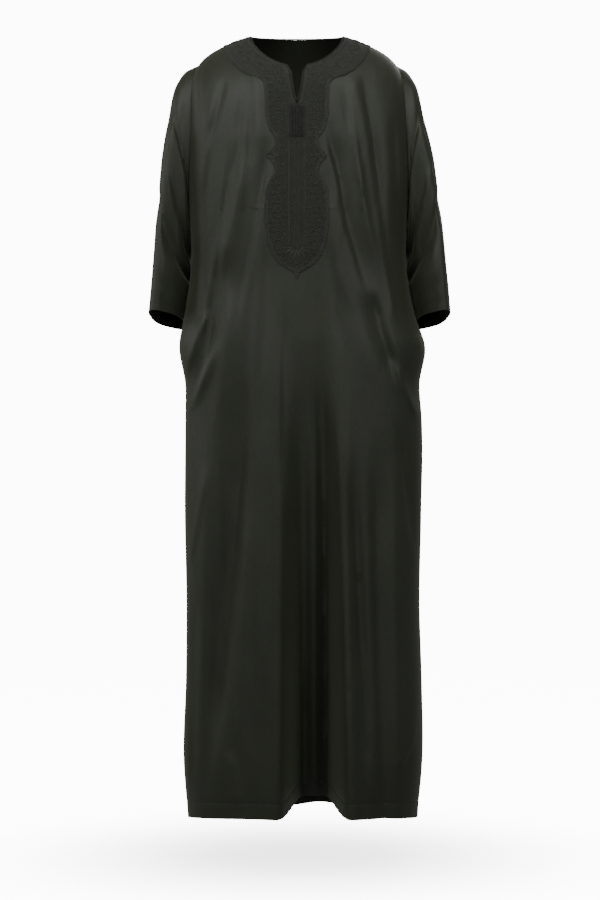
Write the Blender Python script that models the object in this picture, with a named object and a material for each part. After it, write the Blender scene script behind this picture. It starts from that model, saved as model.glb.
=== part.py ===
"""Collarless North African thobe, hanging as it does when it is worn.

Each piece is a closed wall of cloth: front and back lengths, two wide sleeves, the corded
edge of the neck and slit, the embroidered band and chest plaque, and two pocket bags.
Metres, Z up, X to the right as seen from the front, the front faces -Y. The origin is the
base of the neck on the shoulder line, and a drop is a distance down from there.
"""

import math

import bmesh
import bpy
import numpy as np
from mathutils import Vector
from mathutils.bvhtree import BVHTree

# Cloth
WALL = 0.0015
SEAM = 0.0003
EMBROIDERY = 0.0013
PIPING_RADIUS = 0.0015

# Main drops and the neck's size
HEM_DROP = 1.434
HEM_RISE = 0.022
HEM_RISE_TOP = 1.1
NOTCH_RISE = 0.020
YOKE_DROP = 0.20
NECK_HALF = 0.0875
NECK_FRONT = 0.080
NECK_BACK = 0.060
NECK_DIP = 0.0695
NECK_RISE = 0.006
NECK_CURVE = 1.3
SLIT_END = 0.1435
PIPING_CLEARANCE = 0.0007
PIPING_TURN = (225, 270, 315)
SHARPEST_BEND = 0.5

# The loop of control points that rounds the shoulders over
SHOULDER_LEFT = 0.205
SHOULDER_RIGHT = 0.206
SHOULDER_DROP = 0.038
SHOULDER_FRONT = 0.110
SHOULDER_BACK = 0.104
CHEST_DROP = 0.105
NAPE_DROP = 0.050
NECK_PULL = 0.90
FOOT_PULL = 0.86
SQUARENESS = 2.6

# Share of the body's depth over which folds die out towards the side seams
SIDE_FADE = 0.45

# Openings that part the side edges: drops of the two ends, half width
ARMHOLE = (0.054, 0.331, 0.055)
POCKET = (0.525, 0.690, 0.017)

# Columns across half a panel, and points that measure a row of cloth
FRONT_HALF = 15
BACK_HALF = 11
DENSE = 400

# Rows of the panels: drops down the slit, shares of the yoke, and drops below it
SLIT_ROWS = (0.0825, 0.099, 0.119, 0.136)
YOKE_ROWS = (0.80, 0.90, 1.0)
CHEST_ROWS = (0.236, 0.268, 0.295, 0.316, 0.328, 0.368, 0.408, 0.450, 0.490)
POCKET_ROWS = (0.538, 0.568, 0.6075, 0.647, 0.677)
SKIRT_ROWS = (0.74, 0.80, 0.87, 0.94, 1.01, 1.08, 1.15, 1.22, 1.29, 1.36)

# Rounding allowances: on a level, on the drop of an opening's end, between points that meet
LEVEL_NEAR = 1e-6
END_NEAR = 0.002
MERGE = 0.00005
NORMAL_STEP = 0.0005
SMOOTH_ANGLE = 40

# The deep fold between the legs: where it starts, how deep it is at the hem, how fast it
# deepens and its two banks
VALLEY_TOP = 0.56
VALLEY_DEPTH = 0.125
VALLEY_GROWTH = 1.3
VALLEY_LEFT = (-0.042, 0.012)
VALLEY_RIGHT = (0.050, 0.100)
VALLEY_CURVE = 1.7


def table(columns, rows):
    """Rows of numbers as named columns."""
    values = np.array(rows, float)
    return {name: values[:, n] for n, name in enumerate(columns.split())}


BODY = table(
    "drop left right middle front back",
    [
        (0.200, -0.203, 0.209, 0.000, 0.122, 0.118),
        (0.270, -0.202, 0.208, 0.000, 0.126, 0.118),
        (0.331, -0.197, 0.203, 0.000, 0.128, 0.115),
        (0.430, -0.195, 0.201, 0.000, 0.128, 0.110),
        (0.515, -0.207, 0.217, 0.001, 0.130, 0.112),
        (0.570, -0.216, 0.235, 0.003, 0.132, 0.120),
        (0.640, -0.205, 0.225, 0.006, 0.134, 0.128),
        (0.700, -0.205, 0.229, 0.009, 0.134, 0.132),
        (0.880, -0.206, 0.228, 0.017, 0.138, 0.130),
        (1.040, -0.203, 0.225, 0.024, 0.142, 0.130),
        (1.180, -0.204, 0.229, 0.029, 0.146, 0.134),
        (1.330, -0.208, 0.230, 0.033, 0.150, 0.140),
        (1.434, -0.200, 0.221, 0.033, 0.150, 0.144),
    ],
)

# Cloth edge of the slit: half width at each drop
SLIT = table(
    "drop half",
    [
        (0.0670, 0.0200),
        (0.0825, 0.0127),
        (0.0990, 0.0111),
        (0.1190, 0.0080),
        (0.1360, 0.0037),
        (0.1435, 0.0),
    ],
)

# Folds run from one drop to another; a depth below zero is a trough
FOLD_COLUMNS = "x_top x_end drop_top drop_end depth width"
FRONT_FOLDS = table(
    FOLD_COLUMNS,
    [
        (-0.057, -0.118, 0.215, 0.540, -0.010, 0.015),
        (-0.095, -0.130, 0.240, 0.460, 0.007, 0.016),
        (-0.149, -0.172, 0.400, 0.620, -0.012, 0.014),
        (0.062, 0.124, 0.150, 0.430, -0.009, 0.015),
        (0.112, 0.176, 0.380, 0.640, -0.013, 0.015),
        (0.129, 0.160, 0.090, 0.240, -0.006, 0.014),
        (-0.039, -0.039, 0.450, 1.700, 0.016, 0.026),
        (-0.080, -0.162, 0.640, 1.480, -0.024, 0.024),
        (0.100, 0.108, 0.520, 1.700, 0.014, 0.024),
        (0.140, 0.152, 0.760, 1.600, -0.010, 0.020),
        (-0.150, -0.208, 0.530, 0.700, 0.006, 0.012),
        (0.170, 0.232, 0.590, 0.720, 0.006, 0.012),
    ],
)
BACK_FOLDS = table(
    FOLD_COLUMNS,
    [
        (-0.060, -0.075, 0.180, 0.620, 0.007, 0.020),
        (0.065, 0.080, 0.170, 0.600, 0.008, 0.020),
        (-0.120, -0.150, 0.420, 1.700, -0.022, 0.024),
        (-0.070, -0.085, 0.560, 1.800, 0.016, 0.026),
        (-0.020, -0.012, 0.520, 1.800, -0.030, 0.026),
        (0.035, 0.045, 0.600, 1.800, 0.012, 0.024),
        (0.092, 0.100, 0.480, 1.750, -0.026, 0.024),
        (0.150, 0.165, 0.620, 1.700, 0.010, 0.020),
    ],
)
FOLD_FADE = 0.28

# Rings of a sleeve, armhole to cuff: distance from the middle and drop of the outer and the
# inner edge, half the depth front to back, how far the inner edge lies behind the side seam,
# and how much lower the back of the ring hangs
SLEEVE = table(
    "outer_left outer_right outer_drop inner_left inner_right inner_drop depth tuck low",
    [
        (0.2060, 0.2030, 0.066, 0.2005, 0.2065, 0.345, 0.061, 0.006, 0.000),
        (0.2185, 0.2150, 0.088, 0.1990, 0.2050, 0.358, 0.067, 0.014, 0.000),
        (0.2265, 0.2225, 0.118, 0.1978, 0.2040, 0.371, 0.072, 0.024, 0.000),
        (0.2345, 0.2325, 0.165, 0.1970, 0.2035, 0.384, 0.077, 0.034, 0.000),
        (0.2430, 0.2450, 0.218, 0.1968, 0.2035, 0.397, 0.081, 0.042, 0.001),
        (0.2505, 0.2555, 0.278, 0.1972, 0.2040, 0.411, 0.084, 0.048, 0.003),
        (0.2575, 0.2650, 0.340, 0.1985, 0.2055, 0.428, 0.086, 0.050, 0.006),
        (0.2620, 0.2710, 0.402, 0.2010, 0.2085, 0.450, 0.087, 0.050, 0.010),
        (0.2665, 0.2760, 0.456, 0.2050, 0.2135, 0.480, 0.088, 0.050, 0.014),
        (0.2710, 0.2800, 0.504, 0.2100, 0.2200, 0.516, 0.088, 0.050, 0.018),
    ],
)

# Sleeve folds: around is 0 at the shoulder, 0.5 at the front, 1 under the arm, 1.5 behind
SLEEVE_FOLDS = table(
    "around_top around_end ring_top ring_end depth width",
    [
        (0.28, 0.62, 0.5, 6.0, -0.007, 0.10),
        (0.16, 0.46, 3.5, 9.5, -0.008, 0.10),
        (0.42, 0.30, 6.0, 11.0, 0.006, 0.11),
        (1.72, 1.40, 1.0, 7.0, -0.008, 0.11),
        (1.82, 1.56, 4.5, 10.0, -0.008, 0.11),
    ],
)

# Rings of a pocket bag: how far in from the side seam and forward, drop, half height, half width
POCKET_BAG = table(
    "inward forward drop height width",
    [
        (0.012, 0.000, 0.608, 0.079, 0.0165),
        (0.045, 0.018, 0.622, 0.077, 0.0160),
        (0.082, 0.040, 0.646, 0.070, 0.0150),
        (0.112, 0.056, 0.668, 0.052, 0.0120),
        (0.126, 0.062, 0.680, 0.028, 0.0070),
    ],
)
POCKET_FOOT = (0.131, 0.064, 0.684)

# Half of the embroidery's outline, from above the shoulder line to the tip of its tail
PLAQUE = table(
    "half drop",
    [
        (0.1450, -0.030),
        (0.1340, 0.028),
        (0.1178, 0.060),
        (0.1025, 0.0775),
        (0.0857, 0.089),
        (0.0681, 0.0935),
        (0.0598, 0.102),
        (0.0572, 0.128),
        (0.0561, 0.163),
        (0.0498, 0.1895),
        (0.0382, 0.2055),
        (0.0391, 0.219),
        (0.0550, 0.237),
        (0.0415, 0.252),
        (0.0382, 0.266),
        (0.0483, 0.280),
        (0.0555, 0.2975),
        (0.0579, 0.328),
        (0.0569, 0.3595),
        (0.0526, 0.3885),
        (0.0444, 0.4125),
        (0.0318, 0.429),
        (0.0154, 0.4395),
        (0.0048, 0.4455),
    ],
)
PLAQUE_TIP = 0.4575
PLAQUE_LAST_ROW = 0.490
BAND_HALF = 0.134
CUTTER_MIDDLE = -0.10
CUTTER_REACH = 0.15

# Braid under the slit
CORD_COUNT = 5
CORD_PITCH = 0.0052
CORD_HEIGHT = 0.0016
CORD_BASE = 0.0006
CORD_TOP = 0.147
CORD_END = 0.202
CORD_ROWS = 5
CORD_LIFT = 0.0005
CORD_SHOULDER = 0.28

FRONT = -1
BACK = 1
LEFT = -1
RIGHT = 1


def smooth(rows, column, at):
    """A column read at a drop, along a curve with no corners."""
    drops = rows["drop"]
    values = rows[column]
    slopes = np.gradient(values, drops)
    at = np.clip(at, drops[0], drops[-1])
    n = np.clip(np.searchsorted(drops, at) - 1, 0, len(drops) - 2)
    span = drops[n + 1] - drops[n]
    t = (at - drops[n]) / span
    start = (2 * t**3 - 3 * t**2 + 1) * values[n] + (t**3 - 2 * t**2 + t) * span * slopes[n]
    end = (3 * t**2 - 2 * t**3) * values[n + 1] + (t**3 - t**2) * span * slopes[n + 1]
    return start + end


def ease(value):
    """0 to 1 with a soft start and end."""
    t = np.clip(value, 0, 1)
    return t * t * (3 - 2 * t)


def across_and_out(turn):
    """Unit section of the body: turn 0 is the left side, 0.5 the middle, 1 the right side."""
    power = 2 / SQUARENESS
    across = -np.cos(np.pi * turn)
    out = np.clip(np.sin(np.pi * turn), 0, 1)
    return np.sign(across) * np.abs(across) ** power, out**power


def body_ring(turn, drop, face):
    """Points of the body at a drop, below the yoke."""
    across, out = across_and_out(turn)
    middle = smooth(BODY, "middle", drop)
    left = smooth(BODY, "left", drop)
    right = smooth(BODY, "right", drop)
    depth = smooth(BODY, "front" if face == FRONT else "back", drop)
    x = middle + np.where(across < 0, middle - left, right - middle) * across
    return np.stack([x, face * depth * out, -drop + 0 * x], -1)


def neck_ring(turn, face):
    """Points of the neckline."""
    across = -np.cos(np.pi * turn)
    out = np.clip(np.sin(np.pi * turn), 0, 1)
    reach = NECK_FRONT if face == FRONT else NECK_BACK
    height = -NECK_DIP * out**NECK_CURVE if face == FRONT else NECK_RISE * out
    return np.stack([NECK_HALF * across, face * reach * out, height], -1)


def shoulder_ring(turn, face):
    """Control points over which the yoke turns down."""
    across, out = across_and_out(turn)
    half = np.where(across < 0, SHOULDER_LEFT, SHOULDER_RIGHT)
    reach = SHOULDER_FRONT if face == FRONT else SHOULDER_BACK
    low = CHEST_DROP if face == FRONT else NAPE_DROP
    drop = SHOULDER_DROP + (low - SHOULDER_DROP) * out**2
    return np.stack([half * across, face * reach * out, -drop], -1)


def fold_height(x, drop, folds):
    """How far the folds push the cloth out at a place seen from the front."""
    total = np.zeros(np.shape(x))
    for n in range(len(folds["depth"])):
        run = folds["drop_end"][n] - folds["drop_top"][n]
        along = (drop - folds["drop_top"][n]) / run
        centre = folds["x_top"][n] + (folds["x_end"][n] - folds["x_top"][n]) * along
        fade = ease(along / FOLD_FADE) * ease((1 - along) / FOLD_FADE)
        total += folds["depth"][n] * fade * np.exp(-(((x - centre) / folds["width"][n]) ** 2))
    return total


def between_legs(x):
    """1 in the bed of the fold between the legs, 0 beyond its two banks."""
    left = ease((x - VALLEY_LEFT[0]) / (VALLEY_LEFT[1] - VALLEY_LEFT[0]))
    right = ease((VALLEY_RIGHT[1] - x) / (VALLEY_RIGHT[1] - VALLEY_RIGHT[0]))
    return (left * right) ** VALLEY_CURVE


def valley(x, drop):
    """Depth of the fold between the legs."""
    along = np.clip((drop - VALLEY_TOP) / (HEM_DROP - VALLEY_TOP), 0, 1)
    return VALLEY_DEPTH * along**VALLEY_GROWTH * between_legs(x)


def cloth(turn, level, face):
    """Outer face of the body: level 0 is the neckline, 1 the foot of the yoke, 2 the hem."""
    turn, level = np.broadcast_arrays(np.asarray(turn, float), np.asarray(level, float))
    t = np.clip(level, 0, 1)[..., None]
    neck = neck_ring(turn, face)
    over = shoulder_ring(turn, face)
    foot = body_ring(turn, np.full(turn.shape, YOKE_DROP), face)
    near = neck + (over - neck) * NECK_PULL
    far = foot + (over - foot) * FOOT_PULL
    yoke = (1 - t) ** 3 * neck + 3 * (1 - t) ** 2 * t * near
    yoke = yoke + 3 * (1 - t) * t**2 * far + t**3 * foot
    drop = YOKE_DROP + np.clip(level - 1, 0, 1) * (HEM_DROP - YOKE_DROP)
    points = np.where((level > 1)[..., None], body_ring(turn, drop, face), yoke)
    x = points[..., 0]
    drop = -points[..., 2]
    if face == FRONT:
        push = fold_height(x, drop, FRONT_FOLDS) - valley(x, drop)
    else:
        push = fold_height(x, drop, BACK_FOLDS)
    out = across_and_out(turn)[1]
    points[..., 1] += face * push * ease(out / SIDE_FADE)
    if face == FRONT:
        rise = HEM_RISE * out + NOTCH_RISE * between_legs(x)
        points[..., 2] += rise * ease((drop - HEM_RISE_TOP) / (HEM_DROP - HEM_RISE_TOP))
    return points


def cloth_normal(turn, level, face):
    """Outward direction of the body's cloth."""
    along = cloth(np.clip(turn + NORMAL_STEP, 0, 1), level, face)
    along = along - cloth(np.clip(turn - NORMAL_STEP, 0, 1), level, face)
    down = cloth(turn, np.clip(level + NORMAL_STEP, 0, 2), face)
    down = down - cloth(turn, np.clip(level - NORMAL_STEP, 0, 2), face)
    normal = face * np.cross(along, down)
    return normal / np.linalg.norm(normal, axis=-1, keepdims=True)


def level_of(drop):
    """Level of a drop below the yoke."""
    return 1 + (drop - YOKE_DROP) / (HEM_DROP - YOKE_DROP)


def seam_closed(level, tip_level):
    """Whether front and back meet at their side edges in a row."""
    drop = YOKE_DROP + (level - 1) * (HEM_DROP - YOKE_DROP)
    in_armhole = level > tip_level and drop < ARMHOLE[1]
    in_pocket = POCKET[0] < drop < POCKET[1]
    return not in_armhole and not in_pocket


def yoke_level(turn, drop, face):
    """Level within the yoke at which a column reaches a drop."""
    levels = np.linspace(0, 1, DENSE)
    drops = -cloth(np.full(DENSE, turn), levels, face)[:, 2]
    return float(np.interp(drop, drops, levels))


def band_level():
    """Level of the row where the neck band ends on the shoulder line."""
    levels = np.linspace(0, 1, DENSE)
    reach = cloth(np.ones(DENSE), levels, FRONT)[:, 0]
    return float(np.interp(BAND_HALF, reach, levels))


def gap_at(drop, below_tip):
    """Half the distance between front and back at the side edges."""
    gap = np.full(np.shape(drop), SEAM / 2)
    for (top, end, half), open_here in ((ARMHOLE, below_tip), (POCKET, True)):
        if open_here:
            from_middle = (drop - (top + end) / 2) / ((end - top) / 2)
            gap = np.maximum(gap, half * np.sqrt(np.clip(1 - from_middle**2, 0, 1)))
    return gap


def crossing(values, places):
    """Place where values first rise above zero."""
    above = np.nonzero(values >= 0)[0]
    if len(above) == 0 or above[0] == 0:
        return places[0]
    n = above[0] - 1
    share = values[n] / (values[n] - values[n + 1])
    return places[n] + share * (places[n + 1] - places[n])


def half_row(level, face, side, columns, tip_level, slit_level):
    """Turns of one half row, side edge to middle, that lie equal lengths of cloth apart."""
    turn = np.linspace(0, 0.5, DENSE) if side == LEFT else np.linspace(1, 0.5, DENSE)
    points = cloth(turn, np.full(DENSE, level), face)
    gap = gap_at(-points[:, 2], level > tip_level)
    start = crossing(np.abs(points[:, 1]) - gap, turn)
    end = 0.5
    if face == FRONT and level < slit_level:
        half = np.interp(-points[:, 2], SLIT["drop"], SLIT["half"])
        end = crossing((np.abs(points[:, 0]) - half)[::-1], turn[::-1])
    turn = np.linspace(start, end, DENSE)
    points = cloth(turn, np.full(DENSE, level), face)
    steps = np.linalg.norm(np.diff(points, axis=0), axis=1)
    length = np.concatenate([[0], np.cumsum(steps)])
    return np.interp(np.linspace(0, length[-1], columns + 1), length, turn)


def make_levels():
    """Rows of the panels, with those at which the slit, armholes and pockets begin and end."""
    tip = yoke_level(0.0, ARMHOLE[0], FRONT)
    slit = [yoke_level(0.5, drop, FRONT) for drop in (*SLIT_ROWS, SLIT_END)]
    inner = [0.0, band_level(), tip, *slit, *YOKE_ROWS]
    drops = sorted([*CHEST_ROWS, ARMHOLE[1], *POCKET[:2], *POCKET_ROWS, *SKIRT_ROWS, HEM_DROP])
    levels = np.array(sorted(inner) + [level_of(drop) for drop in drops])
    return levels, tip, slit[-1]


def pick_diagonals(points, cells):
    """Two triangles for each four-sided cell, split along the shorter diagonal."""
    faces = []
    for a, b, c, d in cells:
        if np.linalg.norm(points[a] - points[c]) < np.linalg.norm(points[b] - points[d]):
            faces += [(a, b, c), (a, c, d)]
        else:
            faces += [(a, b, d), (b, c, d)]
    return faces


def grid_cells(ids):
    """Four-sided cells of a grid of point numbers."""
    cells = []
    for upper, lower in zip(ids[:-1], ids[1:]):
        for n in range(len(upper) - 1):
            cells.append((upper[n], lower[n], lower[n + 1], upper[n + 1]))
    return cells


def make_material(name, colour, roughness):
    """A matt or satin textile finish."""
    material = bpy.data.materials.new(name)
    material.use_nodes = True
    shader = material.node_tree.nodes["Principled BSDF"]
    shader.inputs["Base Color"].default_value = (*colour, 1)
    shader.inputs["Roughness"].default_value = roughness
    shader.inputs["Metallic"].default_value = 0.0
    material.diffuse_color = (*colour, 1)
    return material


def add_object(name, mesh, material, collection):
    """A named object in the collection, shaded smooth."""
    mesh.materials.append(material)
    mesh.shade_smooth()
    mesh.set_sharp_from_angle(angle=math.radians(SMOOTH_ANGLE))
    obj = bpy.data.objects.new(name, mesh)
    collection.objects.link(obj)
    return obj


def make_shell(name, outer, inner, faces, material, collection):
    """A closed wall between two layers of points that share their faces."""
    count = len(outer)
    uses = {}
    for face in faces:
        for a, b in zip(face, face[1:] + face[:1]):
            uses.setdefault(frozenset((a, b)), []).append((a, b))
    rims = [edges[0] for edges in uses.values() if len(edges) == 1]
    all_faces = [list(face) for face in faces]
    all_faces += [[n + count for n in reversed(face)] for face in faces]
    for a, b in rims:
        all_faces += [[b, a, a + count], [b, a + count, b + count]]
    mesh = bpy.data.meshes.new(name)
    mesh.from_pydata([tuple(p) for p in np.vstack([outer, inner])], [], all_faces)
    form = bmesh.new()
    form.from_mesh(mesh)
    bmesh.ops.recalc_face_normals(form, faces=form.faces)
    form.to_mesh(mesh)
    form.free()
    return add_object(name, mesh, material, collection)


def panel_points(face, half_columns, levels, tip_level, slit_level):
    """Outer points, outward directions and point numbers of a panel's two halves."""
    points = []
    normals = []
    halves = {LEFT: [], RIGHT: []}
    for level in levels:
        for side in (LEFT, RIGHT):
            turns = half_row(level, face, side, half_columns, tip_level, slit_level)
            row = cloth(turns, np.full(len(turns), level), face)
            out = cloth_normal(turns, np.full(len(turns), level), face)
            if seam_closed(level, tip_level):
                row[0, 1] = face * SEAM / 2
                out[0, 1] = 0
            if level == levels[-1]:
                out[:, 2] = 0
            out /= np.linalg.norm(out, axis=-1, keepdims=True)
            ids = list(range(len(points), len(points) + len(row)))
            shared = face == BACK or level >= slit_level
            if side == RIGHT and shared:
                row, out = row[:-1], out[:-1]
                ids = ids[:-1] + [halves[LEFT][-1][-1]]
            points += list(row)
            normals += list(out)
            halves[side].append(ids)
    return np.array(points), np.array(normals), halves


def make_panel(name, face, half_columns, rows, material, collection):
    """The front or the back length of cloth."""
    levels, tip_level, slit_level = rows
    points, normals, halves = panel_points(face, half_columns, levels, tip_level, slit_level)
    cells = []
    for side in (LEFT, RIGHT):
        cells += grid_cells(halves[side])
    faces = pick_diagonals(points, cells)
    make_shell(name, points, points - normals * WALL, faces, material, collection)
    return {"points": points, "normals": normals, "halves": halves, "levels": levels}


def make_layer(name, panel, last_level, inner_lift, thickness, material, collection):
    """A layer on a panel's upper rows, made from its own points moved out."""
    rows = int(np.searchsorted(panel["levels"], last_level + LEVEL_NEAR))
    ids = {side: panel["halves"][side][:rows] for side in (LEFT, RIGHT)}
    used = sorted({n for side in ids for row in ids[side] for n in row})
    number = {n: i for i, n in enumerate(used)}
    cells = []
    for side in (LEFT, RIGHT):
        cells += [tuple(number[n] for n in cell) for cell in grid_cells(ids[side])]
    points = panel["points"][used]
    normals = panel["normals"][used]
    faces = pick_diagonals(points, cells)
    outer = points + normals * (inner_lift + thickness)
    return make_shell(name, outer, points + normals * inner_lift, faces, material, collection)


def grid_normals(grid):
    """Directions square to a tube's grid of points, away from its axis."""
    around = np.roll(grid, -1, axis=1) - np.roll(grid, 1, axis=1)
    along = np.gradient(grid, axis=0)
    normals = np.cross(around, along)
    normals /= np.linalg.norm(normals, axis=-1, keepdims=True)
    from_axis = grid - grid.mean(axis=1, keepdims=True)
    if np.sum(normals * from_axis) < 0:
        normals = -normals
    return normals


def edge_ring(front, back, side, opening, lift):
    """Points round an armhole or pocket mouth, from its top down the front and up the back."""
    chains = []
    for panel in (front, back):
        chain = []
        for ids in panel["halves"][side]:
            point = panel["points"][ids[0]]
            if opening[0] - END_NEAR <= -point[2] <= opening[1] + END_NEAR:
                chain.append(point + panel["normals"][ids[0]] * lift)
        chains.append(np.array(chain))
    top = (chains[0][0] + chains[1][0]) / 2
    end = (chains[0][-1] + chains[1][-1]) / 2
    return np.vstack([[top], chains[0][1:-1], [end], chains[1][-2:0:-1]])


def make_sleeve(name, side, front, back, material, collection):
    """One sleeve, lofted from its armhole to its cuff."""
    mouth = edge_ring(front, back, side, ARMHOLE, SEAM)
    middle = (ARMHOLE[0] + ARMHOLE[1]) / 2
    half = (ARMHOLE[1] - ARMHOLE[0]) / 2
    lift = np.clip((-mouth[:, 2] - middle) / half, -1, 1)
    angle = np.arccos(-lift)
    angle = np.where(mouth[:, 1] > SEAM, 2 * math.pi - angle, angle)
    label = "left" if side == LEFT else "right"
    rings = [mouth]
    for n in range(len(SLEEVE["depth"])):
        outer = np.array([side * SLEEVE["outer_" + label][n], 0, -SLEEVE["outer_drop"][n]])
        inner = np.array([side * SLEEVE["inner_" + label][n], 0, -SLEEVE["inner_drop"][n]])
        inner[1] = SLEEVE["tuck"][n]
        ring = (outer + inner) / 2 + np.cos(angle)[:, None] * (outer - inner) / 2
        ring[:, 1] -= SLEEVE["depth"][n] * np.sin(angle)
        ring[:, 2] -= SLEEVE["low"][n] * (1 - np.sin(angle)) / 2
        rings.append(ring)
    grid = np.array(rings)
    normals = grid_normals(grid)
    push = sleeve_push(angle, len(rings))
    grid = grid + normals * push[..., None]
    normals = grid_normals(grid)
    make_tube(name, grid, normals, None, material, collection)


def sleeve_push(angle, ring_count):
    """How far the folds push a sleeve out, for each ring and point."""
    ring = np.arange(ring_count)[:, None]
    around = np.broadcast_to(angle / math.pi, (ring_count, len(angle)))
    total = np.zeros((ring_count, len(angle)))
    folds = SLEEVE_FOLDS
    for n in range(len(folds["depth"])):
        along = (ring - folds["ring_top"][n]) / (folds["ring_end"][n] - folds["ring_top"][n])
        centre = folds["around_top"][n] + (folds["around_end"][n] - folds["around_top"][n]) * along
        fade = ease(along / FOLD_FADE) * ease((1 - along) / FOLD_FADE)
        total += folds["depth"][n] * fade * np.exp(-(((around - centre) / folds["width"][n]) ** 2))
    return total


def make_tube(name, grid, normals, foot, material, collection):
    """A tube's wall from rings of points; a foot point closes its last ring."""
    rings, count = grid.shape[:2]
    ids = [[r * count + n for n in range(count)] + [r * count] for r in range(rings)]
    outer = grid.reshape(-1, 3)
    inner = (grid - normals * WALL).reshape(-1, 3)
    faces = pick_diagonals(outer, grid_cells(ids))
    if foot is not None:
        last = ids[-1]
        faces += [(last[n], last[n + 1], len(outer)) for n in range(count)]
        away = foot - grid[-2].mean(axis=0)
        away /= np.linalg.norm(away)
        outer = np.vstack([outer, foot])
        inner = np.vstack([inner, foot - away * WALL])
    make_shell(name, outer, inner, faces, material, collection)


def make_pocket(name, side, front, back, material, collection):
    """One pocket bag, hung inside the side seam with its mouth open."""
    mouth = edge_ring(front, back, side, POCKET, -(WALL + SEAM))
    middle = (POCKET[0] + POCKET[1]) / 2
    half = (POCKET[1] - POCKET[0]) / 2
    angle = np.arccos(np.clip((middle + mouth[:, 2]) / half, -1, 1))
    angle = np.where(mouth[:, 1] > SEAM, 2 * math.pi - angle, angle)
    label = "left" if side == LEFT else "right"
    edge = smooth(BODY, label, np.array([middle]))[0]
    rings = [mouth]
    for n in range(len(POCKET_BAG["drop"])):
        height = POCKET_BAG["height"][n] * np.cos(angle)
        depth = -POCKET_BAG["width"][n] * np.sin(angle) - POCKET_BAG["forward"][n]
        x = np.full(len(angle), edge - side * POCKET_BAG["inward"][n])
        rings.append(np.stack([x, depth, height - POCKET_BAG["drop"][n]], -1))
    grid = np.array(rings)
    foot = np.array([edge - side * POCKET_FOOT[0], -POCKET_FOOT[1], -POCKET_FOOT[2]])
    make_tube(name, grid, grid_normals(grid), foot, material, collection)


def neckline_loop(front, back):
    """Edge points and normals round the neck, by way of the slit, and where the slit ends."""
    rows = front["halves"]
    last = max(n for n, row in enumerate(rows[LEFT]) if row[-1] != rows[RIGHT][n][-1])
    left = rows[LEFT][0] + [row[-1] for row in rows[LEFT][1 : last + 2]]
    right = [row[-1] for row in rows[RIGHT][last:0:-1]] + rows[RIGHT][0][::-1]
    behind = back["halves"][RIGHT][0][1:] + back["halves"][LEFT][0][-2:0:-1]
    points = np.vstack([front["points"][left + right], back["points"][behind]])
    normals = np.vstack([front["normals"][left + right], back["normals"][behind]])
    return points, normals, len(left) - 1


def make_piping(front, back, material, collection):
    """The corded edge round the neck and down both sides of the slit."""
    points, normals, foot = neckline_loop(front, back)
    before = points - np.roll(points, 1, axis=0)
    after = np.roll(points, -1, axis=0) - points
    before /= np.linalg.norm(before, axis=1, keepdims=True)
    after /= np.linalg.norm(after, axis=1, keepdims=True)
    away = np.cross(normals, before + after)
    away /= np.linalg.norm(away, axis=1, keepdims=True)
    bend = np.sqrt(np.clip((1 + np.sum(before * after, axis=1)) / 2, SHARPEST_BEND, 1))
    reach = (PIPING_CLEARANCE + PIPING_RADIUS) / bend
    path = points - normals * WALL / 2 + away * reach[:, None]
    base = (path[foot - 1] + path[foot + 1]) / 2
    half = (path[foot + 1][0] - path[foot - 1][0]) / 2
    turn = []
    for degrees in PIPING_TURN:
        angle = math.radians(degrees)
        turn.append(base + half * np.array([math.cos(angle), 0, math.sin(angle)]))
    path = np.vstack([path[:foot], turn, path[foot + 1 :]])
    curve = bpy.data.curves.new("neck_piping", "CURVE")
    curve.dimensions = "3D"
    curve.bevel_depth = PIPING_RADIUS
    curve.bevel_resolution = 1
    spline = curve.splines.new("POLY")
    spline.points.add(len(path) - 1)
    for point, place in zip(spline.points, path):
        point.co = (*place, 1)
    spline.use_cyclic_u = True
    curve.materials.append(material)
    obj = bpy.data.objects.new("neck_piping", curve)
    collection.objects.link(obj)


def make_outline_cutter(collection):
    """A prism of the embroidery's outline that reaches back to the shoulder line."""
    half = [(h, -d) for h, d in zip(PLAQUE["half"], PLAQUE["drop"])]
    outline = [(-h, z) for h, z in half] + [(0, -PLAQUE_TIP)] + half[::-1]
    curve = bpy.data.curves.new("plaque_outline", "CURVE")
    curve.dimensions = "2D"
    curve.fill_mode = "BOTH"
    curve.extrude = CUTTER_REACH
    spline = curve.splines.new("POLY")
    spline.points.add(len(outline) - 1)
    for point, (x, z) in zip(spline.points, outline):
        point.co = (x, z, 0, 1)
    spline.use_cyclic_u = True
    drawn = bpy.data.objects.new("plaque_outline", curve)
    drawn.rotation_euler = (math.pi / 2, 0, 0)
    drawn.location = (0, CUTTER_MIDDLE, 0)
    collection.objects.link(drawn)
    bpy.context.view_layer.update()
    ready = drawn.evaluated_get(bpy.context.evaluated_depsgraph_get())
    mesh = bpy.data.meshes.new_from_object(ready)
    form = bmesh.new()
    form.from_mesh(mesh)
    bmesh.ops.remove_doubles(form, verts=form.verts, dist=MERGE)
    bmesh.ops.recalc_face_normals(form, faces=form.faces)
    form.to_mesh(mesh)
    form.free()
    cutter = bpy.data.objects.new("plaque_cutter", mesh)
    cutter.matrix_world = drawn.matrix_world
    cutter.hide_render = True
    cutter.display_type = "WIRE"
    collection.objects.link(cutter)
    bpy.data.objects.remove(drawn)
    return cutter


def make_front_embroidery(front, material, collection, cutters):
    """Neck band and chest plaque in one, cut to their outline."""
    last = level_of(PLAQUE_LAST_ROW)
    layer = make_layer("embroidery_front", front, last, SEAM, EMBROIDERY, material, collection)
    cut = layer.modifiers.new("outline", "BOOLEAN")
    cut.operation = "INTERSECT"
    cut.solver = "EXACT"
    cut.object = make_outline_cutter(cutters)


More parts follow.
